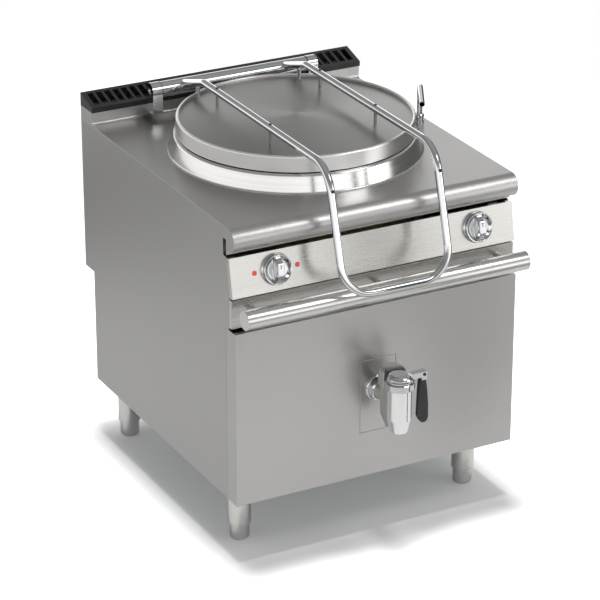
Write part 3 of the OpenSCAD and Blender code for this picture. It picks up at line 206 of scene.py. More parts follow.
# the tent's right side is brighter than its left
across = add(
    tree,
    "ShaderNodeMapRange",
    {"From Min": -1.0, "From Max": 1.0, "To Min": 0.85, "To Max": 1.15},
    {0: parts.outputs["X"]},
)
shade = add(
    tree, "ShaderNodeVectorMath", {"operation": "SCALE"}, {0: tiers.outputs[0], "Scale": across.outputs[0]}
)
tent = add(tree, "ShaderNodeBackground", {"Strength": 1.0}, {0: shade.outputs[0]})
white = add(tree, "ShaderNodeBackground", {"Color": (1, 1, 1, 1), "Strength": 1.0})
path = add(tree, "ShaderNodeLightPath")
mixed = add(
    tree,
    "ShaderNodeMixShader",
    {},
    {0: path.outputs["Is Camera Ray"], 1: tent.outputs[0], 2: white.outputs[0]},
)
add(tree, "ShaderNodeOutputWorld", {}, {0: mixed.outputs[0]})

sun = bpy.data.lights.new("lamp_above", "SUN")
sun.energy = 1.6
sun.angle = math.radians(7)
lamp = bpy.data.objects.new("lamp_above", sun)
lamp.location = (0, 0, 4)
# it is for the shadow alone, so that no steel seen from above burns out
lamp.visible_glossy = False
scene.collection.objects.link(lamp)


def soft_box(name, place, aim, wide, high, power):
    """A rectangular soft box at a place, turned to its aim."""
    light = bpy.data.lights.new(name, "AREA")
    light.shape = "RECTANGLE"
    light.size = wide
    light.size_y = high
    light.energy = power
    box = bpy.data.objects.new(name, light)
    box.location = place
    box.rotation_euler = (Vector(aim) - Vector(place)).to_track_quat("-Z", "Y").to_euler()
    box.visible_camera = False
    scene.collection.objects.link(box)


soft_box("soft_box_behind", (2.6, 2.6, 2.2), (0, 0, 0.9), wide=2.0, high=1.6, power=5)
soft_box("soft_box_front", (1.3, -1.9, 2.9), (0, -0.2, 0.9), wide=1.3, high=0.9, power=16)
soft_box("soft_box_right", (2.4, -2.2, 1.2), (0.3, 0, 0.7), wide=0.8, high=1.6, power=8)

# matt grey cloth on a frame, which steel mirrors as an even darker patch
flag_grey, tree, output = new_material("grey studio flag")
cloth = add(tree, "ShaderNodeBsdfDiffuse", {"Color": linear("#787878")})
tree.links.new(cloth.outputs[0], output.inputs["Surface"])
# one flag stands in front for the control panel, one beyond the right side for the collar
flag_low = 0.05
for name, left, right, flag_high in (
    ("flag_front", (0.84, -2.2), (1.04, -2.2), 1.8),
    ("flag_right", (2.2, -1.2), (2.2, 2.4), 1.85),
):
    corners = [(*left, flag_low), (*right, flag_low), (*right, flag_high), (*left, flag_high)]
    flag_mesh = bpy.data.meshes.new(name)
    flag_mesh.from_pydata(corners, [], [(0, 1, 2, 3)])
    flag_mesh.materials.append(flag_grey)
    flag = bpy.data.objects.new(name, flag_mesh)
    flag.visible_camera = False
    scene.collection.objects.link(flag)

# Cabinet sheets. The worktop, the side, front and rear panels, the flue box and the plate behind
# the valve are 1.5 to 2 mm stainless steel, folded and welded, and ground with a belt.
# the pan's upright axis, round which its own sheets are ground
pan_axis = (0, 0.067, 0)


def satin_steel(name, colour, rough, lines_along, contrast=0.03, relief=0.03, aniso=0.6, wall=None):
    """Belt-ground stainless steel with its lines along X, Y or round the pan's upright axis.

    wall is the radius beyond which the pressing's wall is coloured brighter, a painted highlight,
    and that colour.
    """
    material, tree, output = new_material(name)
    place = add(tree, "ShaderNodeTexCoord")
    surface = add(tree, "ShaderNodeNewGeometry")
    # real grinding lines are about 0.1 mm wide; they are drawn 2 mm wide, and 250 mm long, to show
    long, fine = 4.0, 500.0
    if lines_along == "round":
        centred = add(
            tree, "ShaderNodeVectorMath", {"operation": "SUBTRACT", 1: pan_axis}, {0: place.outputs["Object"]}
        )
        flat = add(
            tree, "ShaderNodeVectorMath", {"operation": "MULTIPLY", 1: (1, 1, 0)}, {0: centred.outputs[0]}
        )
        radius = add(tree, "ShaderNodeVectorMath", {"operation": "LENGTH"}, {0: flat.outputs[0]})
        rings = add(tree, "ShaderNodeMath", {"operation": "MULTIPLY", 1: fine}, {0: radius.outputs["Value"]})
        lines = add(
            tree,
            "ShaderNodeTexNoise",
            {"noise_dimensions": "1D", "Scale": 1.0, "Detail": 3.0},
            {"W": rings.outputs[0]},
        )
        run = add(
            tree, "ShaderNodeVectorMath", {"operation": "CROSS_PRODUCT", 0: (0, 0, 1)}, {1: flat.outputs[0]}
        )
        cross = add(
            tree,
            "ShaderNodeVectorMath",
            {"operation": "CROSS_PRODUCT"},
            {0: surface.outputs["Normal"], 1: run.outputs[0]},
        )
    else:
        scale, run = {
            "x": ((long, fine, fine), (1, 0.02, 0.02)),
            "y": ((fine, long, fine), (0.02, 1, 0.02)),
        }[lines_along]
        spread = add(tree, "ShaderNodeMapping", {"Scale": scale}, {0: place.outputs["Object"]})
        lines = add(tree, "ShaderNodeTexNoise", {"Scale": 1.0, "Detail": 3.0}, {0: spread.outputs[0]})
        cross = add(
            tree,
            "ShaderNodeVectorMath",
            {"operation": "CROSS_PRODUCT", 1: run},
            {0: surface.outputs["Normal"]},
        )
    # handling leaves patches of about 300 mm that are a little duller
    clouds = add(tree, "ShaderNodeTexNoise", {"Scale": 3.0, "Detail": 2.0}, {0: place.outputs["Object"]})
    base = linear(colour)
    dark = [c * (1 - contrast) for c in base[:3]] + [1]
    pale = [min(1, c * (1 + contrast)) for c in base[:3]] + [1]
    # a Mix node's two colours are its inputs 6 and 7, and the mixed colour is its output 2
    tint = add(tree, "ShaderNodeMix", {"data_type": "RGBA", 6: dark, 7: pale}, {0: lines.outputs[0]})
    shown = tint.outputs[2]
    # beyond the wall's radius the colour is raised: a painted highlight
    if wall:
        wall_radius, painted_highlight_colour = wall
        outer = add(
            tree,
            "ShaderNodeMapRange",
            {"From Min": wall_radius - 0.001, "From Max": wall_radius + 0.001},
            {0: radius.outputs["Value"]},
        )
        bright = add(
            tree,
            "ShaderNodeMix",
            {"data_type": "RGBA", 7: linear(painted_highlight_colour)},
            {0: outer.outputs[0], 6: shown},
        )
        shown = bright.outputs[2]
    worn = add(
        tree,
        "ShaderNodeMapRange",
        {"From Min": 0.3, "From Max": 0.7, "To Min": rough - 0.02, "To Max": rough + 0.02},
        {0: lines.outputs[0]},
    )
    patchy = add(
        tree, "ShaderNodeMath", {"operation": "MULTIPLY_ADD", 1: 0.06, 2: -0.03}, {0: clouds.outputs[0]}
    )
    total = add(tree, "ShaderNodeMath", {"operation": "ADD"}, {0: worn.outputs[0], 1: patchy.outputs[0]})
    # folded edges of the sheet have a radius of about 1.6 mm
    edge = add(tree, "ShaderNodeBevel", {"samples": 4, "Radius": 0.0016})
    bump = add(
        tree,
        "ShaderNodeBump",
        {"Strength": relief, "Distance": 0.0003},
        {"Height": lines.outputs[0], "Normal": edge.outputs[0]},
    )
    # the lines stretch each reflection across them into a broad soft streak
    shader = add(
        tree,
        "ShaderNodeBsdfPrincipled",
        {"Metallic": 1.0, "Anisotropic": aniso},
        {
            "Base Color": shown,
            "Roughness": total.outputs[0],
            "Normal": bump.outputs[0],
            "Tangent": cross.outputs[0],
        },
    )
    tree.links.new(shader.outputs[0], output.inputs["Surface"])
    return material


def dress(material, *names):
    """Gives CAD nodes their material."""
    for name in names:
        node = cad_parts[name]
        node.data.materials.clear()
        node.data.materials.append(material)


# a cool middle grey; the lines run along each panel, so highlights spread up and down it
steel_across = satin_steel("satin stainless steel, lines across", "#bcbbb9", 0.34, "x")
# the same sheet turned a quarter, coloured a little darker: painted shade on the side panels
steel_along_painted_darker = satin_steel("satin stainless steel, lines front to back", "#b1b0ae", 0.34, "y")
dress(
    steel_across, "worktop", "front_panel", "rear_upper_panel", "rear_lower_panel", "valve_plate", "flue_box"
)
dress(steel_along_painted_darker, "side_panel_left", "side_panel_right")

# Feet. Four turned stainless steel tubes that screw up and down in the sleeves under the cabinet.
# They are smoother and paler than the sheets, with one clear upright highlight.
foot_steel = satin_steel(
    "turned stainless steel of the feet", "#dddcd9", 0.26, "x", contrast=0.02, relief=0.02, aniso=0.3
)
dress(
    foot_steel, "foot_sleeves", "foot_front_left", "foot_front_right", "foot_rear_left", "foot_rear_right"
)

# Control panel and strip. The sloping panel that carries knobs and lamps, and the recessed strip
# behind the rail, are folded from the same sheet and fixed to the cabinet's front edges. Their
# grinding is finer and brighter, so they mirror more of the studio than the cabinet does.
panel_steel = satin_steel("bright ground stainless steel", "#cdcbc7", 0.27, "x", contrast=0.008, relief=0.004)
dress(panel_steel, "control_panel", "rail_strip")

# Grab rail. Satin stainless tube, 50 mm across, closed by welded end caps and held off the strip
# by three short spacers. It is ground finely along its length, which gives one long highlight.
rail_steel = satin_steel(
    "satin stainless tube", "#d2d1ce", 0.22, "x", contrast=0.015, relief=0.015, aniso=0.4
)
dress(rail_steel, "grab_rail", "rail_end_caps", "rail_spacers")

# Pan. Deep-drawn and spun from 2 mm sheet, with a turned collar that is welded to the worktop.
# Its turning lines are rings, so a highlight becomes a bright fan on flat faces and an upright
# band on the collar's wall.
pan_steel = satin_steel(
    "spun stainless steel", "#dad9d7", 0.21, "round", contrast=0.01, relief=0.0, aniso=0.5
)
dress(pan_steel, "pan_collar", "pan_vessel", "drain_strainer", "drain_pipe")

# Lid. Spun sheet with a rolled bead and a nearly flat dome, ground in rings. Its upright wall and
# its bead are coloured near white, a painted highlight, and its crown is coloured the darkest steel
# of the pan, painted shade.
lid_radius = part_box("lid_shell")[1][0]
wall_deep = 0.008
# the crown's dark grey is painted shade, and the near-white wall and bead a painted highlight
lid_steel = satin_steel(
    "spun stainless steel of the lid",
    "#999895",
    0.32,
    "round",
    contrast=0.006,
    relief=0.0,
    aniso=0.7,
    wall=(lid_radius - wall_deep, "#efeeec"),
)
dress(lid_steel, "lid_shell", "lid_liner")

# Chromed parts. Bent tube and small castings, polished and plated: the lid's hinge and handle,
# the spout, and the fittings of the drain valve.


def chrome(name, colour, rough):
    """Polished chrome plating with faint ripples and haze."""
    material, tree, output = new_material(name)
    place = add(tree, "ShaderNodeTexCoord")
    # ripples of the tube under the plating, about 25 mm long
    ripple = add(tree, "ShaderNodeTexNoise", {"Scale": 40.0, "Detail": 1.0}, {0: place.outputs["Object"]})
    # wiping leaves haze in spots of about 5 mm
    wear = add(tree, "ShaderNodeTexNoise", {"Scale": 220.0, "Detail": 3.0}, {0: place.outputs["Object"]})
    haze = add(
        tree,
        "ShaderNodeMapRange",
        {"From Min": 0.35, "From Max": 0.75, "To Min": rough, "To Max": rough + 0.05},
        {0: wear.outputs[0]},
    )
    bump = add(tree, "ShaderNodeBump", {"Strength": 0.05, "Distance": 0.0005}, {"Height": ripple.outputs[0]})
    # it mirrors the studio sharply, in hard black and white lines that the ripples bend a little
    shader = add(
        tree,
        "ShaderNodeBsdfPrincipled",
        {"Metallic": 1.0, "Base Color": linear(colour)},
        {"Roughness": haze.outputs[0], "Normal": bump.outputs[0]},
    )
    tree.links.new(shader.outputs[0], output.inputs["Surface"])
    return material


plated = chrome("polished chrome plating", "#cdcecf", 0.05)
dress(
    plated,
    "hinge_tube", "hinge_caps", "hinge_brackets", "hinge_shaft", "lid_handle", "handle_studs", "spout_base",
    "water_spout", "valve_rosette", "valve_nut", "valve_gland_ring", "valve_plug", "valve_lever",
)

# Valve body. Stainless steel casting, held to the front panel by the nut behind it. It is blasted
# all over, and its upright barrel is then turned and polished.
valve_axis = (0, -0.486, 0)
# the barrel's radius is 30.5 mm; the polish stops just outside it
polish_edge = (0.0307, 0.0312)
# the blasted casting is a soft grey, and the barrel beside it is nearly white and sharp
cast, tree, output = new_material("cast stainless steel with a polished barrel")
place = add(tree, "ShaderNodeTexCoord")
flat = add(
    tree, "ShaderNodeVectorMath", {"operation": "MULTIPLY", 1: (1, 1, 0)}, {0: place.outputs["Object"]}
)
centred = add(tree, "ShaderNodeVectorMath", {"operation": "SUBTRACT", 1: valve_axis}, {0: flat.outputs[0]})
radius = add(tree, "ShaderNodeVectorMath", {"operation": "LENGTH"}, {0: centred.outputs[0]})
front = add(
    tree,
    "ShaderNodeMapRange",
    {"From Min": polish_edge[0], "From Max": polish_edge[1], "To Min": 1.0, "To Max": 0.0},
    {0: radius.outputs["Value"]},
)
# blasting leaves pits of about 0.5 mm, drawn at 1.5 mm
pits = add(tree, "ShaderNodeTexNoise", {"Scale": 650.0, "Detail": 2.0}, {0: place.outputs["Object"]})
rough = add(tree, "ShaderNodeMapRange", {"To Min": 0.38, "To Max": 0.16}, {0: front.outputs[0]})
depth = add(tree, "ShaderNodeMapRange", {"To Min": 1.0, "To Max": 0.1}, {0: front.outputs[0]})
relief = add(tree, "ShaderNodeMath", {"operation": "MULTIPLY"}, {0: pits.outputs[0], 1: depth.outputs[0]})
bump = add(tree, "ShaderNodeBump", {"Strength": 0.25, "Distance": 0.0004}, {"Height": relief.outputs[0]})
tint = add(
    tree,
    "ShaderNodeMix",
    {"data_type": "RGBA", 6: linear("#c2c1be"), 7: linear("#f0f0f0")},
    {0: front.outputs[0]},
)
shader = add(
    tree,
    "ShaderNodeBsdfPrincipled",
    {"Metallic": 1.0},
    {"Base Color": tint.outputs[2], "Roughness": rough.outputs[0], "Normal": bump.outputs[0]},
)
tree.links.new(shader.outputs[0], output.inputs["Surface"])
dress(cast, "valve_body")

# Flue grilles. Two cast-iron gratings, enamelled black, that lie in the top of the flue box. The
# lever's and the handle's screws have the same finish: nearly black glass, glossy, and slightly
# uneven like orange peel.
enamel, tree, output = new_material("black enamel on cast iron")
place = add(tree, "ShaderNodeTexCoord")
# the peel's bumps are about 4 mm wide, and dust lies in patches of about 50 mm
peel = add(tree, "ShaderNodeTexNoise", {"Scale": 260.0, "Detail": 2.0}, {0: place.outputs["Object"]})
dust = add(tree, "ShaderNodeTexNoise", {"Scale": 18.0, "Detail": 3.0}, {0: place.outputs["Object"]})
tint = add(
    tree,
    "ShaderNodeMix",
    {"data_type": "RGBA", 6: linear("#1c1b1d"), 7: linear("#2b292b")},
    {0: dust.outputs[0]},
)
gloss = add(tree, "ShaderNodeMapRange", {"To Min": 0.26, "To Max": 0.42}, {0: peel.outputs[0]})
bump = add(tree, "ShaderNodeBump", {"Strength": 0.18, "Distance": 0.0006}, {"Height": peel.outputs[0]})
shader = add(
    tree,
    "ShaderNodeBsdfPrincipled",
    {"Metallic": 0.0, "IOR": 1.5},
    {"Base Color": tint.outputs[2], "Roughness": gloss.outputs[0], "Normal": bump.outputs[0]},
)
tree.links.new(shader.outputs[0], output.inputs["Surface"])
dress(enamel, "flue_grilles", "lever_screw", "handle_screws")

# Valve grip. Glass-filled nylon, moulded black round the lever's tongue, with three flutes down
# each broad face and a rounded end. A screw through the tongue holds it.
grip_top = 0.4594
grip_long = 0.122
grip_steps = 60
# the grip's left and right edges and half its thickness, from its top at 0 to its end at 1
grip_left = ((0, 0.0545), (0.3, 0.0515), (0.8, 0.0485), (0.9, 0.0535), (1, 0.0625))
grip_right = ((0, 0.0725), (0.25, 0.0775), (0.6, 0.0815), (0.88, 0.0820), (1, 0.0770))
grip_half = ((0, 0.0078), (0.5, 0.0072), (0.92, 0.0062), (1, 0.0048))
# the flutes lie side by side on the broad faces, over this share of the grip's length
flute_deep = 0.0009
flute_run = (0.08, 0.86)
flute_waves = 3.5
broad_face = 0.7
# how much the grip narrows at its very top and end, and over which share of its length
top_round, top_share = 0.25, 0.03
end_round, end_start, end_share = 0.45, 0.965, 0.035
# the socket on the tongue: its middle, half its size, and its height over the grip
tongue_x = 0.0655
tongue_half = (0.0062, 0.0038)
tongue_heights = (0.017, 0.0002)
grip_sides = 64
corner_power = 0.45
# the moulding is charcoal with a dull sheen, and shinier where hands rub it
nylon, tree, output = new_material("moulded black nylon")
place = add(tree, "ShaderNodeTexCoord")
# spark-eroded mould grain, about 0.4 mm, drawn at 1 mm
grain = add(tree, "ShaderNodeTexNoise", {"Scale": 900.0, "Detail": 2.0}, {0: place.outputs["Object"]})
rub = add(tree, "ShaderNodeTexNoise", {"Scale": 30.0, "Detail": 2.0}, {0: place.outputs["Object"]})
tint = add(
    tree,
    "ShaderNodeMix",
    {"data_type": "RGBA", 6: linear("#19191b"), 7: linear("#262628")},
    {0: rub.outputs[0]},
)
gloss = add(tree, "ShaderNodeMapRange", {"To Min": 0.32, "To Max": 0.5}, {0: rub.outputs[0]})
bump = add(tree, "ShaderNodeBump", {"Strength": 0.2, "Distance": 0.0003}, {"Height": grain.outputs[0]})
shader = add(
    tree,
    "ShaderNodeBsdfPrincipled",
    {"Metallic": 0.0, "IOR": 1.53},
    {"Base Color": tint.outputs[2], "Roughness": gloss.outputs[0], "Normal": bump.outputs[0]},
)
tree.links.new(shader.outputs[0], output.inputs["Surface"])
dress(nylon, "hinge_bushes", "heat_switch", "contactor", "cable_gland")


def between(table, t):
    """Straight-line value from a table of (t, value)."""
    for (t0, a), (t1, b) in zip(table, table[1:]):
        if t <= t1:
            return a + (b - a) * (t - t0) / (t1 - t0)
    return table[-1][1]


def circle(sides):
    """The cosine and sine at each corner of a regular polygon."""
    turns = [2 * math.pi * i / sides for i in range(sides)]
    return [(math.cos(turn), math.sin(turn)) for turn in turns]


def squared(value):
    """A cosine or sine pushed outwards, which makes a circle a rounded rectangle."""
    return math.copysign(abs(value) ** corner_power, value)


def closed_mesh(name, bm, smooth=True):
    """Turns the faces of a closed form outwards and keeps it as a mesh."""
    bmesh.ops.recalc_face_normals(bm, faces=bm.faces)
    mesh = bpy.data.meshes.new(name)
    bm.to_mesh(mesh)
    bm.free()
    if smooth:
        mesh.shade_smooth()
    return mesh


def new_piece(name, mesh, material, body):
    """Links a finished mesh as a piece that rides on a body, with its material and slot."""
    piece = bpy.data.objects.new(name, mesh)
    scene.collection.objects.link(piece)
    mesh.materials.clear()
    mesh.materials.append(material)
    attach(piece, body)
    return piece


bm = bmesh.new()
loops = []
for over in tongue_heights:
    loops.append([])
    for c, s in circle(grip_sides):
        x = tongue_x + tongue_half[0] * squared(c)
        y = valve_axis[1] + tongue_half[1] * squared(s)
        loops[-1].append(bm.verts.new((x, y, grip_top + over)))
for step in range(grip_steps + 1):
    t = step / grip_steps
    low, high, half = between(grip_left, t), between(grip_right, t), between(grip_half, t)
    mid, reach = (low + high) / 2, (high - low) / 2
    at_end = max(0, (t - end_start) / end_share) ** 2
    at_top = max(0, (top_share - t) / top_share) ** 2
    narrow = 1 - end_round * at_end - top_round * at_top
    loops.append([])
    for c, s in circle(grip_sides):
        x, y = squared(c), squared(s)
        groove = 0
        if abs(y) > broad_face and flute_run[0] < t < flute_run[1]:
            groove = flute_deep * max(0, math.cos(flute_waves * math.pi * x)) * (1 - abs(x)) ** 0.5
        deep = math.copysign(half * abs(y) * narrow - groove, y)
        point = (mid + reach * x * narrow, valve_axis[1] + deep, grip_top - grip_long * t)
        loops[-1].append(bm.verts.new(point))
for upper, lower in zip(loops, loops[1:]):
    for i in range(grip_sides):
        j = (i + 1) % grip_sides
        bm.faces.new((upper[i], lower[i], lower[j], upper[j]))
bm.faces.new(loops[0])
bm.faces.new(loops[-1])
grip_mesh = closed_mesh("valve_grip_moulding", bm)
grip = new_piece("valve_grip_moulding", grip_mesh, nylon, "valve_lever")
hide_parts("valve_grip")

# Pilot lamps. Two red acrylic lenses, clipped into the panel from the front, one on each side of
# the heat knob. Moulded facets inside make the clear red uneven, and a faint glow is painted on
# it, standing in for the light that the lens gathers.
acrylic, tree, output = new_material("red acrylic lens")
place = add(tree, "ShaderNodeTexCoord")
# the facets are about 1 mm wide
facets = add(tree, "ShaderNodeTexVoronoi", {"Scale": 900.0}, {0: place.outputs["Object"]})
tint = add(
    tree,
    "ShaderNodeMix",
    {"data_type": "RGBA", 6: linear("#ef5a50"), 7: linear("#dd4038")},
    {0: facets.outputs["Distance"]},
)
# the faint red emission is a painted glow
shader = add(
    tree,
    "ShaderNodeBsdfPrincipled",
    {"Roughness": 0.18, "IOR": 1.49, "Emission Strength": 0.12, "Emission Color": linear("#ef5a50")},
    {"Base Color": tint.outputs[2]},
)
tree.links.new(shader.outputs[0], output.inputs["Surface"])
dress(acrylic, "pilot_lamps")

# Hidden steel. The welded base frame, the folded tray, the elements with their clamp plate and
# the spindles, all inside or under the cabinet, in galvanised steel. The zinc is grey with paler
# spangles, some duller than others.
zinc, tree, output = new_material("hot-dip galvanised steel")
place = add(tree, "ShaderNodeTexCoord")
# zinc crystals, 8 to 15 mm
spangle = add(tree, "ShaderNodeTexVoronoi", {"Scale": 90.0}, {0: place.outputs["Object"]})
tint = add(
    tree,
    "ShaderNodeMix",
    {"data_type": "RGBA", 6: linear("#979da0"), 7: linear("#b9bec0")},
    {0: spangle.outputs["Distance"]},
)
gloss = add(tree, "ShaderNodeMapRange", {"To Min": 0.32, "To Max": 0.5}, {0: spangle.outputs["Distance"]})
shader = add(
    tree,
    "ShaderNodeBsdfPrincipled",
    {"Metallic": 1.0},
    {"Base Color": tint.outputs[2], "Roughness": gloss.outputs[0]},
)
tree.links.new(shader.outputs[0], output.inputs["Surface"])
dress(
    zinc,
    "bottom_tray", "base_frame", "heating_elements", "element_clamp_plate", "heat_spindle", "water_spindle",
)

# Insulation. A blanket of mineral wool, wrapped round the pan inside the cabinet. Its yellow-brown
# fibres are quite matt, in loose flat layers, and their colour is darker in the low parts between
# the layers: painted shade on top of the fibres' own uneven tone.
wool, tree, output = new_material("mineral wool")
place = add(tree, "ShaderNodeTexCoord")
layers = add(tree, "ShaderNodeMapping", {"Scale": (60, 60, 400)}, {0: place.outputs["Object"]})
fibres_and_painted_shade = add(tree, "ShaderNodeTexNoise", {"Scale": 3.0, "Detail": 6.0}, {0: layers.outputs[0]})
# the darker colour falls where the layers are low, painted shade between them
tint = add(
    tree,
    "ShaderNodeMix",
    {"data_type": "RGBA", 6: linear("#a8925c"), 7: linear("#d6c48f")},
    {0: fibres_and_painted_shade.outputs[0]},
)
bump = add(tree, "ShaderNodeBump", {"Strength": 0.7, "Distance": 0.003}, {"Height": fibres_and_painted_shade.outputs[0]})
shader = add(
    tree,
    "ShaderNodeBsdfPrincipled",
    {"Roughness": 0.95, "Sheen Weight": 0.3},
    {"Base Color": tint.outputs[2], "Normal": bump.outputs[0]},
)
tree.links.new(shader.outputs[0], output.inputs["Surface"])
dress(wool, "pan_insulation")

# Plumbing. The water inlet at the back, the copper pipe from it, and the brass tap behind the
# water knob, drawn and soldered together. A thin brown film dulls the warm metal in patches of
# about 20 mm.
brass, tree, output = new_material("drawn copper and brass")
place = add(tree, "ShaderNodeTexCoord")
film = add(tree, "ShaderNodeTexNoise", {"Scale": 45.0, "Detail": 4.0}, {0: place.outputs["Object"]})
tint = add(
    tree,
    "ShaderNodeMix",
    {"data_type": "RGBA", 6: linear("#a9714a"), 7: linear("#d09a5f")},
    {0: film.outputs[0]},
)
gloss = add(tree, "ShaderNodeMapRange", {"To Min": 0.22, "To Max": 0.42}, {0: film.outputs[0]})
shader = add(
    tree,
    "ShaderNodeBsdfPrincipled",
    {"Metallic": 1.0},
    {"Base Color": tint.outputs[2], "Roughness": gloss.outputs[0]},
)
tree.links.new(shader.outputs[0], output.inputs["Surface"])
dress(brass, "water_pipe", "water_tap", "water_inlet")

# Terminals. A block of pressed steatite, which joins the mains cable to the wires inside the
# cabinet. Its fired glaze is off-white and shiny, with soft unevenness of about 10 mm.
steatite, tree, output = new_material("glazed steatite")
place = add(tree, "ShaderNodeTexCoord")
glaze = add(tree, "ShaderNodeTexNoise", {"Scale": 90.0, "Detail": 2.0}, {0: place.outputs["Object"]})
tint = add(
    tree,
    "ShaderNodeMix",
    {"data_type": "RGBA", 6: linear("#ddd9cd"), 7: linear("#efece2")},
    {0: glaze.outputs[0]},
)
bump = add(tree, "ShaderNodeBump", {"Strength": 0.15, "Distance": 0.0006}, {"Height": glaze.outputs[0]})
shader = add(
    tree,
    "ShaderNodeBsdfPrincipled",
    {"Roughness": 0.2, "IOR": 1.52},
    {"Base Color": tint.outputs[2], "Normal": bump.outputs[0]},
)
tree.links.new(shader.outputs[0], output.inputs["Surface"])
dress(steatite, "terminal_block")

# Knobs. Die-cast zinc, chromed: a thin flange, a round body with an upright wall, and an upright
# blade between two scooped finger hollows. Each is pushed onto its spindle.
knob_radius = 0.041
body_radius = 0.0388
flange_high = 0.0030
flange_drop = 0.0015
flange_edge = 0.0012
flange_rings = (0.0394, 0.0400)
body_high = 0.0150
wall_run = 0.0008
wall_insets = (0.0012, 0.0008, 0.0004, 0)
rim_wide = 0.0016
rim_blend = (-0.0006, 0.0012)
# the hollow falls steeply from the rim, then slowly towards the blade
hollow_deep, hollow_wide = 0.0085, 0.011
slope_deep, slope_wide = 0.0015, 0.03
blade_half = 0.0070
blade_high = 0.030
blade_flank = 0.0045
# the blade swells towards its middle, and its top falls towards both ends
swell, swell_radius = 0.0022, 0.03
fall, fall_from, fall_to = 0.0145, 0.012, 0.0345
# the knob's net: rings this far apart over the hollow, and a back just off the panel
ring_step = 0.0009
ring_count = 41
knob_sides = 144
back_gap = 0.0004
# the panel's slope, its foot, and the knobs' places on it
panel_tilt = math.radians(10.7)
panel_foot = Vector((0, -0.364, 0.721))
knob_up = 0.055
heat_x = -0.276
water_x = 0.294
on_face = Matrix(
    (
        (1, 0, 0, 0),
        (0, math.sin(panel_tilt), -math.cos(panel_tilt), 0),
        (0, math.cos(panel_tilt), math.sin(panel_tilt), 0),
        (0, 0, 0, 1),
    )
)


def ease(value, low, high):
    """Smooth step from 0 at low to 1 at high."""
    t = min(1, max(0, (value - low) / (high - low)))
    return t * t * (3 - 2 * t)


def knob_height(u, v):
    """Height of the knob above the panel at a point of its face."""
    r = math.hypot(u, v)
    if r > body_radius:
        return flange_high - flange_drop * ease(r, knob_radius - flange_edge, knob_radius)
    if r > body_radius - wall_run:
        return flange_high + (body_high - flange_high) * ease(body_radius - r, 0, wall_run)
    inside = body_radius - rim_wide - r
    steep = hollow_deep * ease(inside, 0, hollow_wide)
    slow = slope_deep * ease(inside, hollow_wide, slope_wide)
    hollow = body_high - steep - slow
    ridge = blade_high - fall * ease(abs(v), fall_from, fall_to)
    half = blade_half + swell * (1 - ease(r, 0.0, swell_radius))
    blade = ridge * (1 - ease(abs(u), half, half + blade_flank))
    rim = ease(inside, *rim_blend)
    return max(hollow, blade * rim + hollow * (1 - rim))


def knob_mesh(name, centre):
    """The knob as a fine polar net over its face, closed behind."""
    bm = bmesh.new()
    wall_rings = [body_radius - inset for inset in wall_insets]
    rings = [ring_step * i for i in range(1, ring_count + 1)] + [*wall_rings, *flange_rings, knob_radius]
    tip = bm.verts.new((0, 0, knob_height(0, 0)))
    nets = []
    for r in rings:
        nets.append([])
        for c, s in circle(knob_sides):
            u, v = r * c, r * s
            nets[-1].append(bm.verts.new((u, v, knob_height(u, v))))
    back = [bm.verts.new((vert.co.x, vert.co.y, back_gap)) for vert in nets[-1]]
    heel = bm.verts.new((0, 0, back_gap))
    for i in range(knob_sides):
        j = (i + 1) % knob_sides
        bm.faces.new((tip, nets[0][i], nets[0][j]))
        for inner, outer in zip(nets, nets[1:]):
            bm.faces.new((inner[i], outer[i], outer[j], inner[j]))
        bm.faces.new((nets[-1][i], back[i], back[j], nets[-1][j]))
        bm.faces.new((back[i], heel, back[j]))
    bm.transform(Matrix.Translation(centre) @ on_face)
    return closed_mesh(name, bm)


def on_panel(x, up, out=0.0):
    """A point of the control panel's face, in the part's frame."""
    return panel_foot + on_face.to_3x3() @ Vector((x, up, out))


# the plating is a little greyer than on tube, and mirrors in the hollows as dark crescents
knob_plating = chrome("chromed zinc casting", "#c6c7c8", 0.06)
for name, body, node, x in (
    ("heat_knob_cast", "heat_control", "heat_knob", heat_x),
    ("water_knob_cast", "water_control", "water_knob", water_x),
):
    cast_knob = new_piece(name, knob_mesh(name, on_panel(x, knob_up)), knob_plating, body)
    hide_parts(node)

# Pointers. A short red line is pad-printed on each blade's face, above its middle, and shows
# where the knob points. It is a thin plate here, half of it sunk in the blade.
line_wide = 0.0028
line_long = 0.008
line_up = 0.009
line_proud = 0.0003
line_thick = 0.0006
# flat red with hardly any shine, a little uneven as printed ink is
paint, tree, output = new_material("red pad-printed ink")
place = add(tree, "ShaderNodeTexCoord")
# the ink's unevenness is about 1.5 mm wide
ink = add(tree, "ShaderNodeTexNoise", {"Scale": 700.0, "Detail": 2.0}, {0: place.outputs["Object"]})
tint = add(
    tree,
    "ShaderNodeMix",
    {"data_type": "RGBA", 6: linear("#d8413a"), 7: linear("#e2574f")},
    {0: ink.outputs[0]},
)
shader = add(
    tree, "ShaderNodeBsdfPrincipled", {"Roughness": 0.45, "IOR": 1.5}, {"Base Color": tint.outputs[2]}
)
tree.links.new(shader.outputs[0], output.inputs["Surface"])
for name, body, x in (
    ("heat_pointer", "heat_control", heat_x),
    ("water_pointer", "water_control", water_x),
):
    bm = bmesh.new()
    bmesh.ops.create_grid(bm, x_segments=4, y_segments=8, size=0.5)
    for vert in bm.verts:
        vert.co = Vector((vert.co.x * line_wide, vert.co.y * line_long, line_proud))
    faces = bmesh.ops.extrude_face_region(bm, geom=bm.faces[:])
    for item in faces["geom"]:
        if isinstance(item, bmesh.types.BMVert):
            item.co.z -= line_thick
    bm.transform(Matrix.Translation(on_panel(x, knob_up + line_up, blade_high)) @ on_face)
    new_piece(name, closed_mesh(name, bm, smooth=False), paint, body)

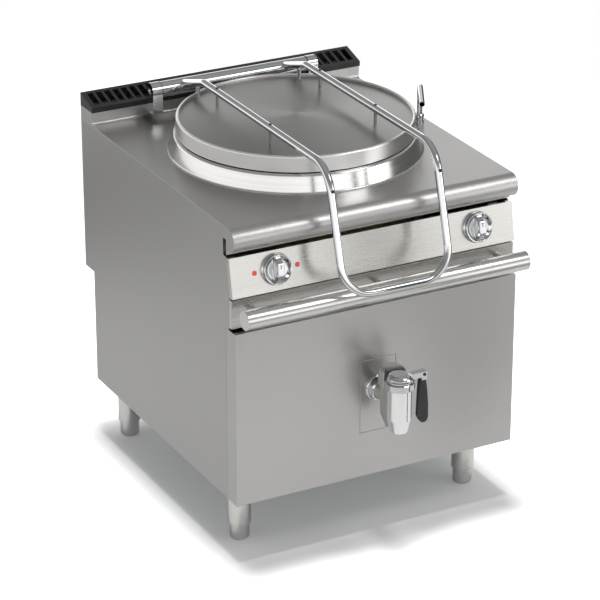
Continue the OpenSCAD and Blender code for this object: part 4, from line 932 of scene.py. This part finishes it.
# Louvres. Pressed hoods over the slits of the rear upper panel let the warm air out, each one
# drawn from the panel's own sheet with rounded ends.
rear_face = 0.524
hood_sink = 0.0005
hood_sizes = {
    "Length": 0.190,
    "Radius": 0.0075,
    "Sheet": 0.0012,
    "Pitch": 0.022,
    "Columns apart": 0.300,
    "Rows": 6,
    "Place": (0, rear_face - hood_sink, 0.741),
    "Finish": steel_across,
}


def new_tree(name, inputs):
    """A Geometry Nodes tree with named inputs, the inputs' identifiers, and their sockets."""
    tree = bpy.data.node_groups.new(name, "GeometryNodeTree")
    tree.interface.new_socket(name="Geometry", in_out="OUTPUT", socket_type="NodeSocketGeometry")
    identifiers = {}
    for label, kind in inputs.items():
        socket = tree.interface.new_socket(name=label, in_out="INPUT", socket_type="NodeSocket" + kind)
        identifiers[label] = socket.identifier
    return tree, identifiers, add(tree, "NodeGroupInput").outputs


def set_in_columns(tree, given, shape, tall, turn):
    """Ends a tree: copies a shape over two upright columns on a rear panel, as real faces."""
    points = add(
        tree,
        "GeometryNodeMeshGrid",
        {"Vertices X": 2},
        {"Size X": given["Columns apart"], "Size Y": tall, "Vertices Y": given["Rows"]},
    )
    upright = add(
        tree,
        "GeometryNodeTransform",
        {"Rotation": (math.pi / 2, 0, 0)},
        {"Geometry": points.outputs[0], "Translation": given["Place"]},
    )
    copies = add(
        tree,
        "GeometryNodeInstanceOnPoints",
        {"Rotation": turn},
        {"Points": upright.outputs[0], "Instance": shape},
    )
    real = add(tree, "GeometryNodeRealizeInstances", {}, {0: copies.outputs[0]})
    dressed = add(
        tree, "GeometryNodeSetMaterial", {}, {"Geometry": real.outputs[0], "Material": given["Finish"]}
    )
    add(tree, "NodeGroupOutput", {}, {0: dressed.outputs[0]})


def grown(name, tree, identifiers, values, body):
    """Runs a geometry tree once and keeps its plain mesh as a piece."""
    seed = bpy.data.objects.new(name + "_seed", bpy.data.meshes.new(name + "_seed"))
    scene.collection.objects.link(seed)
    modifier = seed.modifiers.new(name, "NODES")
    modifier.node_group = tree
    for label, value in values.items():
        modifier[identifiers[label]] = value
    shown = seed.evaluated_get(bpy.context.evaluated_depsgraph_get())
    mesh = bpy.data.meshes.new_from_object(shown)
    mesh.name = name
    bpy.data.objects.remove(seed)
    return new_piece(name, mesh, values["Finish"], body)


hoods, hood_inputs, given = new_tree(
    "louvre hoods",
    {
        "Length": "Float",
        "Radius": "Float",
        "Sheet": "Float",
        "Pitch": "Float",
        "Columns apart": "Float",
        "Rows": "Int",
        "Place": "Vector",
        "Finish": "Material",
    },
)
# a square net is bent over a quarter circle, and its depth falls to nothing at both ends
net = add(hoods, "GeometryNodeMeshGrid", {"Size X": 1.0, "Size Y": 1.0, "Vertices X": 25, "Vertices Y": 9})
here = add(hoods, "GeometryNodeInputPosition")
spot = add(hoods, "ShaderNodeSeparateXYZ", {}, {0: here.outputs[0]})
turn = add(
    hoods,
    "ShaderNodeMath",
    {"operation": "MULTIPLY_ADD", 1: math.pi / 2, 2: math.pi / 4},
    {0: spot.outputs["Y"]},
)
out = add(hoods, "ShaderNodeMath", {"operation": "SINE"}, {0: turn.outputs[0]})
up = add(hoods, "ShaderNodeMath", {"operation": "COSINE"}, {0: turn.outputs[0]})
twice = add(hoods, "ShaderNodeMath", {"operation": "MULTIPLY", 1: 2.0}, {0: spot.outputs["X"]})
ends = add(hoods, "ShaderNodeMath", {"operation": "ABSOLUTE"}, {0: twice.outputs[0]})
steep = add(hoods, "ShaderNodeMath", {"operation": "POWER", 1: 8.0}, {0: ends.outputs[0]})
full = add(hoods, "ShaderNodeMath", {"operation": "SUBTRACT", 0: 1.0}, {1: steep.outputs[0]})
depth = add(hoods, "ShaderNodeMath", {"operation": "MULTIPLY"}, {0: out.outputs[0], 1: full.outputs[0]})
long = add(hoods, "ShaderNodeMath", {"operation": "MULTIPLY"}, {0: spot.outputs["X"], 1: given["Length"]})
deep = add(hoods, "ShaderNodeMath", {"operation": "MULTIPLY"}, {0: depth.outputs[0], 1: given["Radius"]})
high = add(hoods, "ShaderNodeMath", {"operation": "MULTIPLY"}, {0: up.outputs[0], 1: given["Radius"]})
curve = add(hoods, "ShaderNodeCombineXYZ", {}, {0: long.outputs[0], 1: deep.outputs[0], 2: high.outputs[0]})
hood = add(hoods, "GeometryNodeSetPosition", {}, {"Geometry": net.outputs[0], "Position": curve.outputs[0]})
# the sheet's thickness, with its inner face turned round and welded on
wall = add(
    hoods,
    "GeometryNodeExtrudeMesh",
    {"Individual": False},
    {"Mesh": hood.outputs[0], "Offset Scale": given["Sheet"]},
)
inner = add(hoods, "GeometryNodeFlipFaces", {}, {0: hood.outputs[0]})
shell = add(hoods, "GeometryNodeJoinGeometry", {}, {0: wall.outputs[0]})
hoods.links.new(inner.outputs[0], shell.inputs[0])
welded = add(hoods, "GeometryNodeMergeByDistance", {"Distance": 0.00002}, {"Geometry": shell.outputs[0]})
gaps = add(hoods, "ShaderNodeMath", {"operation": "SUBTRACT", 1: 1.0}, {0: given["Rows"]})
tall = add(hoods, "ShaderNodeMath", {"operation": "MULTIPLY"}, {0: gaps.outputs[0], 1: given["Pitch"]})
set_in_columns(hoods, given, welded.outputs[0], tall.outputs[0], (0, 0, 0))
hood_piece = grown("louvre_hoods", hoods, hood_inputs, hood_sizes, "cabinet")
hood_piece.data.shade_smooth()

# Rear screws. Stainless button heads with a socket, one column at each side edge, hold the rear
# panels to the flanges of the side panels.
# the lower panel lies this far in front of the upper one, and a head's middle off its panel
step_in = 0.055
head_stand = 0.0008
# how high the dome rises and how deep the key's socket goes, as shares of the head's height, and
# the socket's radius as a share of the head's
dome_rise = 0.55
socket_deep = 0.9
socket_wide = 0.42
screw_sizes = {"Head radius": 0.004, "Head height": 0.0018, "Columns apart": 0.774, "Finish": rail_steel}
heads, head_inputs, given = new_tree(
    "button head screws",
    {
        "Head radius": "Float",
        "Head height": "Float",
        "Columns apart": "Float",
        "Column height": "Float",
        "Rows": "Int",
        "Place": "Vector",
        "Finish": "Material",
    },
)
blank = add(
    heads,
    "GeometryNodeMeshCylinder",
    {"Vertices": 18, "Side Segments": 1, "Fill Segments": 6},
    {"Radius": given["Head radius"], "Depth": given["Head height"]},
)
here = add(heads, "GeometryNodeInputPosition")
spot = add(heads, "ShaderNodeSeparateXYZ", {}, {0: here.outputs[0]})
flat = add(heads, "ShaderNodeVectorMath", {"operation": "MULTIPLY", 1: (1, 1, 0)}, {0: here.outputs[0]})
radius = add(heads, "ShaderNodeVectorMath", {"operation": "LENGTH"}, {0: flat.outputs[0]})
share = add(
    heads, "ShaderNodeMath", {"operation": "DIVIDE"}, {0: radius.outputs["Value"], 1: given["Head radius"]}
)
# the top rises to a dome, and its middle is sunk for the key
square = add(heads, "ShaderNodeMath", {"operation": "MULTIPLY"}, {0: share.outputs[0], 1: share.outputs[0]})
dome = add(
    heads,
    "ShaderNodeMath",
    {"operation": "MULTIPLY_ADD", 1: -dome_rise, 2: dome_rise},
    {0: square.outputs[0]},
)
socket = add(heads, "ShaderNodeMath", {"operation": "LESS_THAN", 1: socket_wide}, {0: share.outputs[0]})
sunk = add(
    heads,
    "ShaderNodeMath",
    {"operation": "MULTIPLY_ADD", 1: -socket_deep},
    {0: socket.outputs[0], 2: dome.outputs[0]},
)
top = add(heads, "ShaderNodeMath", {"operation": "GREATER_THAN", 1: 0.0}, {0: spot.outputs["Z"]})
lift = add(heads, "ShaderNodeMath", {"operation": "MULTIPLY"}, {0: sunk.outputs[0], 1: top.outputs[0]})
rise = add(heads, "ShaderNodeMath", {"operation": "MULTIPLY"}, {0: lift.outputs[0], 1: given["Head height"]})
push = add(heads, "ShaderNodeCombineXYZ", {}, {2: rise.outputs[0]})
head = add(
    heads, "GeometryNodeSetPosition", {}, {"Geometry": blank.outputs["Mesh"], "Offset": push.outputs[0]}
)
set_in_columns(heads, given, head.outputs[0], given["Column height"], (-math.pi / 2, 0, 0))
for name, rows, tall, place in (
    ("rear_upper_screws", 5, 0.380, (0, rear_face + head_stand, 0.690)),
    ("rear_lower_screws", 4, 0.250, (0, rear_face - step_in + head_stand, 0.320)),
):
    values = screw_sizes | {"Column height": tall, "Rows": rows, "Place": place}
    grown(name, heads, head_inputs, values, "cabinet")

# Drop screws. A small black socket screw sits in each side of the handle, just below its front
# bend, and holds the bent tube on its inner sleeve.
head_sides = 20
# radius and height of the head's outline, from the socket's floor round the rim to the back
head_outline = (
    (0.0, -0.0008),
    (0.0018, -0.0008),
    (0.0021, 0.0002),
    (0.0036, 0.0002),
    (0.0045, -0.0008),
    (0.0045, -0.0034),
    (0.0, -0.0034),
)
# the drop leans 16 degrees; the screw stands on its front side, 11 mm from the tube's axis
drop_lean = math.radians(16)
drop_seat = 0.0110
drop_x = 0.150
drop_y, drop_z = -0.3999, 0.970
for name, x in (("drop_screw_left", -drop_x), ("drop_screw_right", drop_x)):
    bm = bmesh.new()
    net = []
    for r, h in head_outline:
        corners = circle(head_sides) if r else [(0, 0)]
        net.append([bm.verts.new((r * c, r * s, h)) for c, s in corners])
    for a, b in zip(net, net[1:]):
        for i in range(head_sides):
            j = (i + 1) % head_sides
            ends = [a[i % len(a)], b[i % len(b)], b[j % len(b)], a[j % len(a)]]
            bm.faces.new(list(dict.fromkeys(ends)))
    onto_drop = Matrix.Translation((x, drop_y, drop_z)) @ Matrix.Rotation(math.pi / 2 - drop_lean, 4, "X")
    bm.transform(onto_drop @ Matrix.Translation((0, 0, drop_seat)))
    new_piece(name, closed_mesh(name, bm), enamel, "lid")
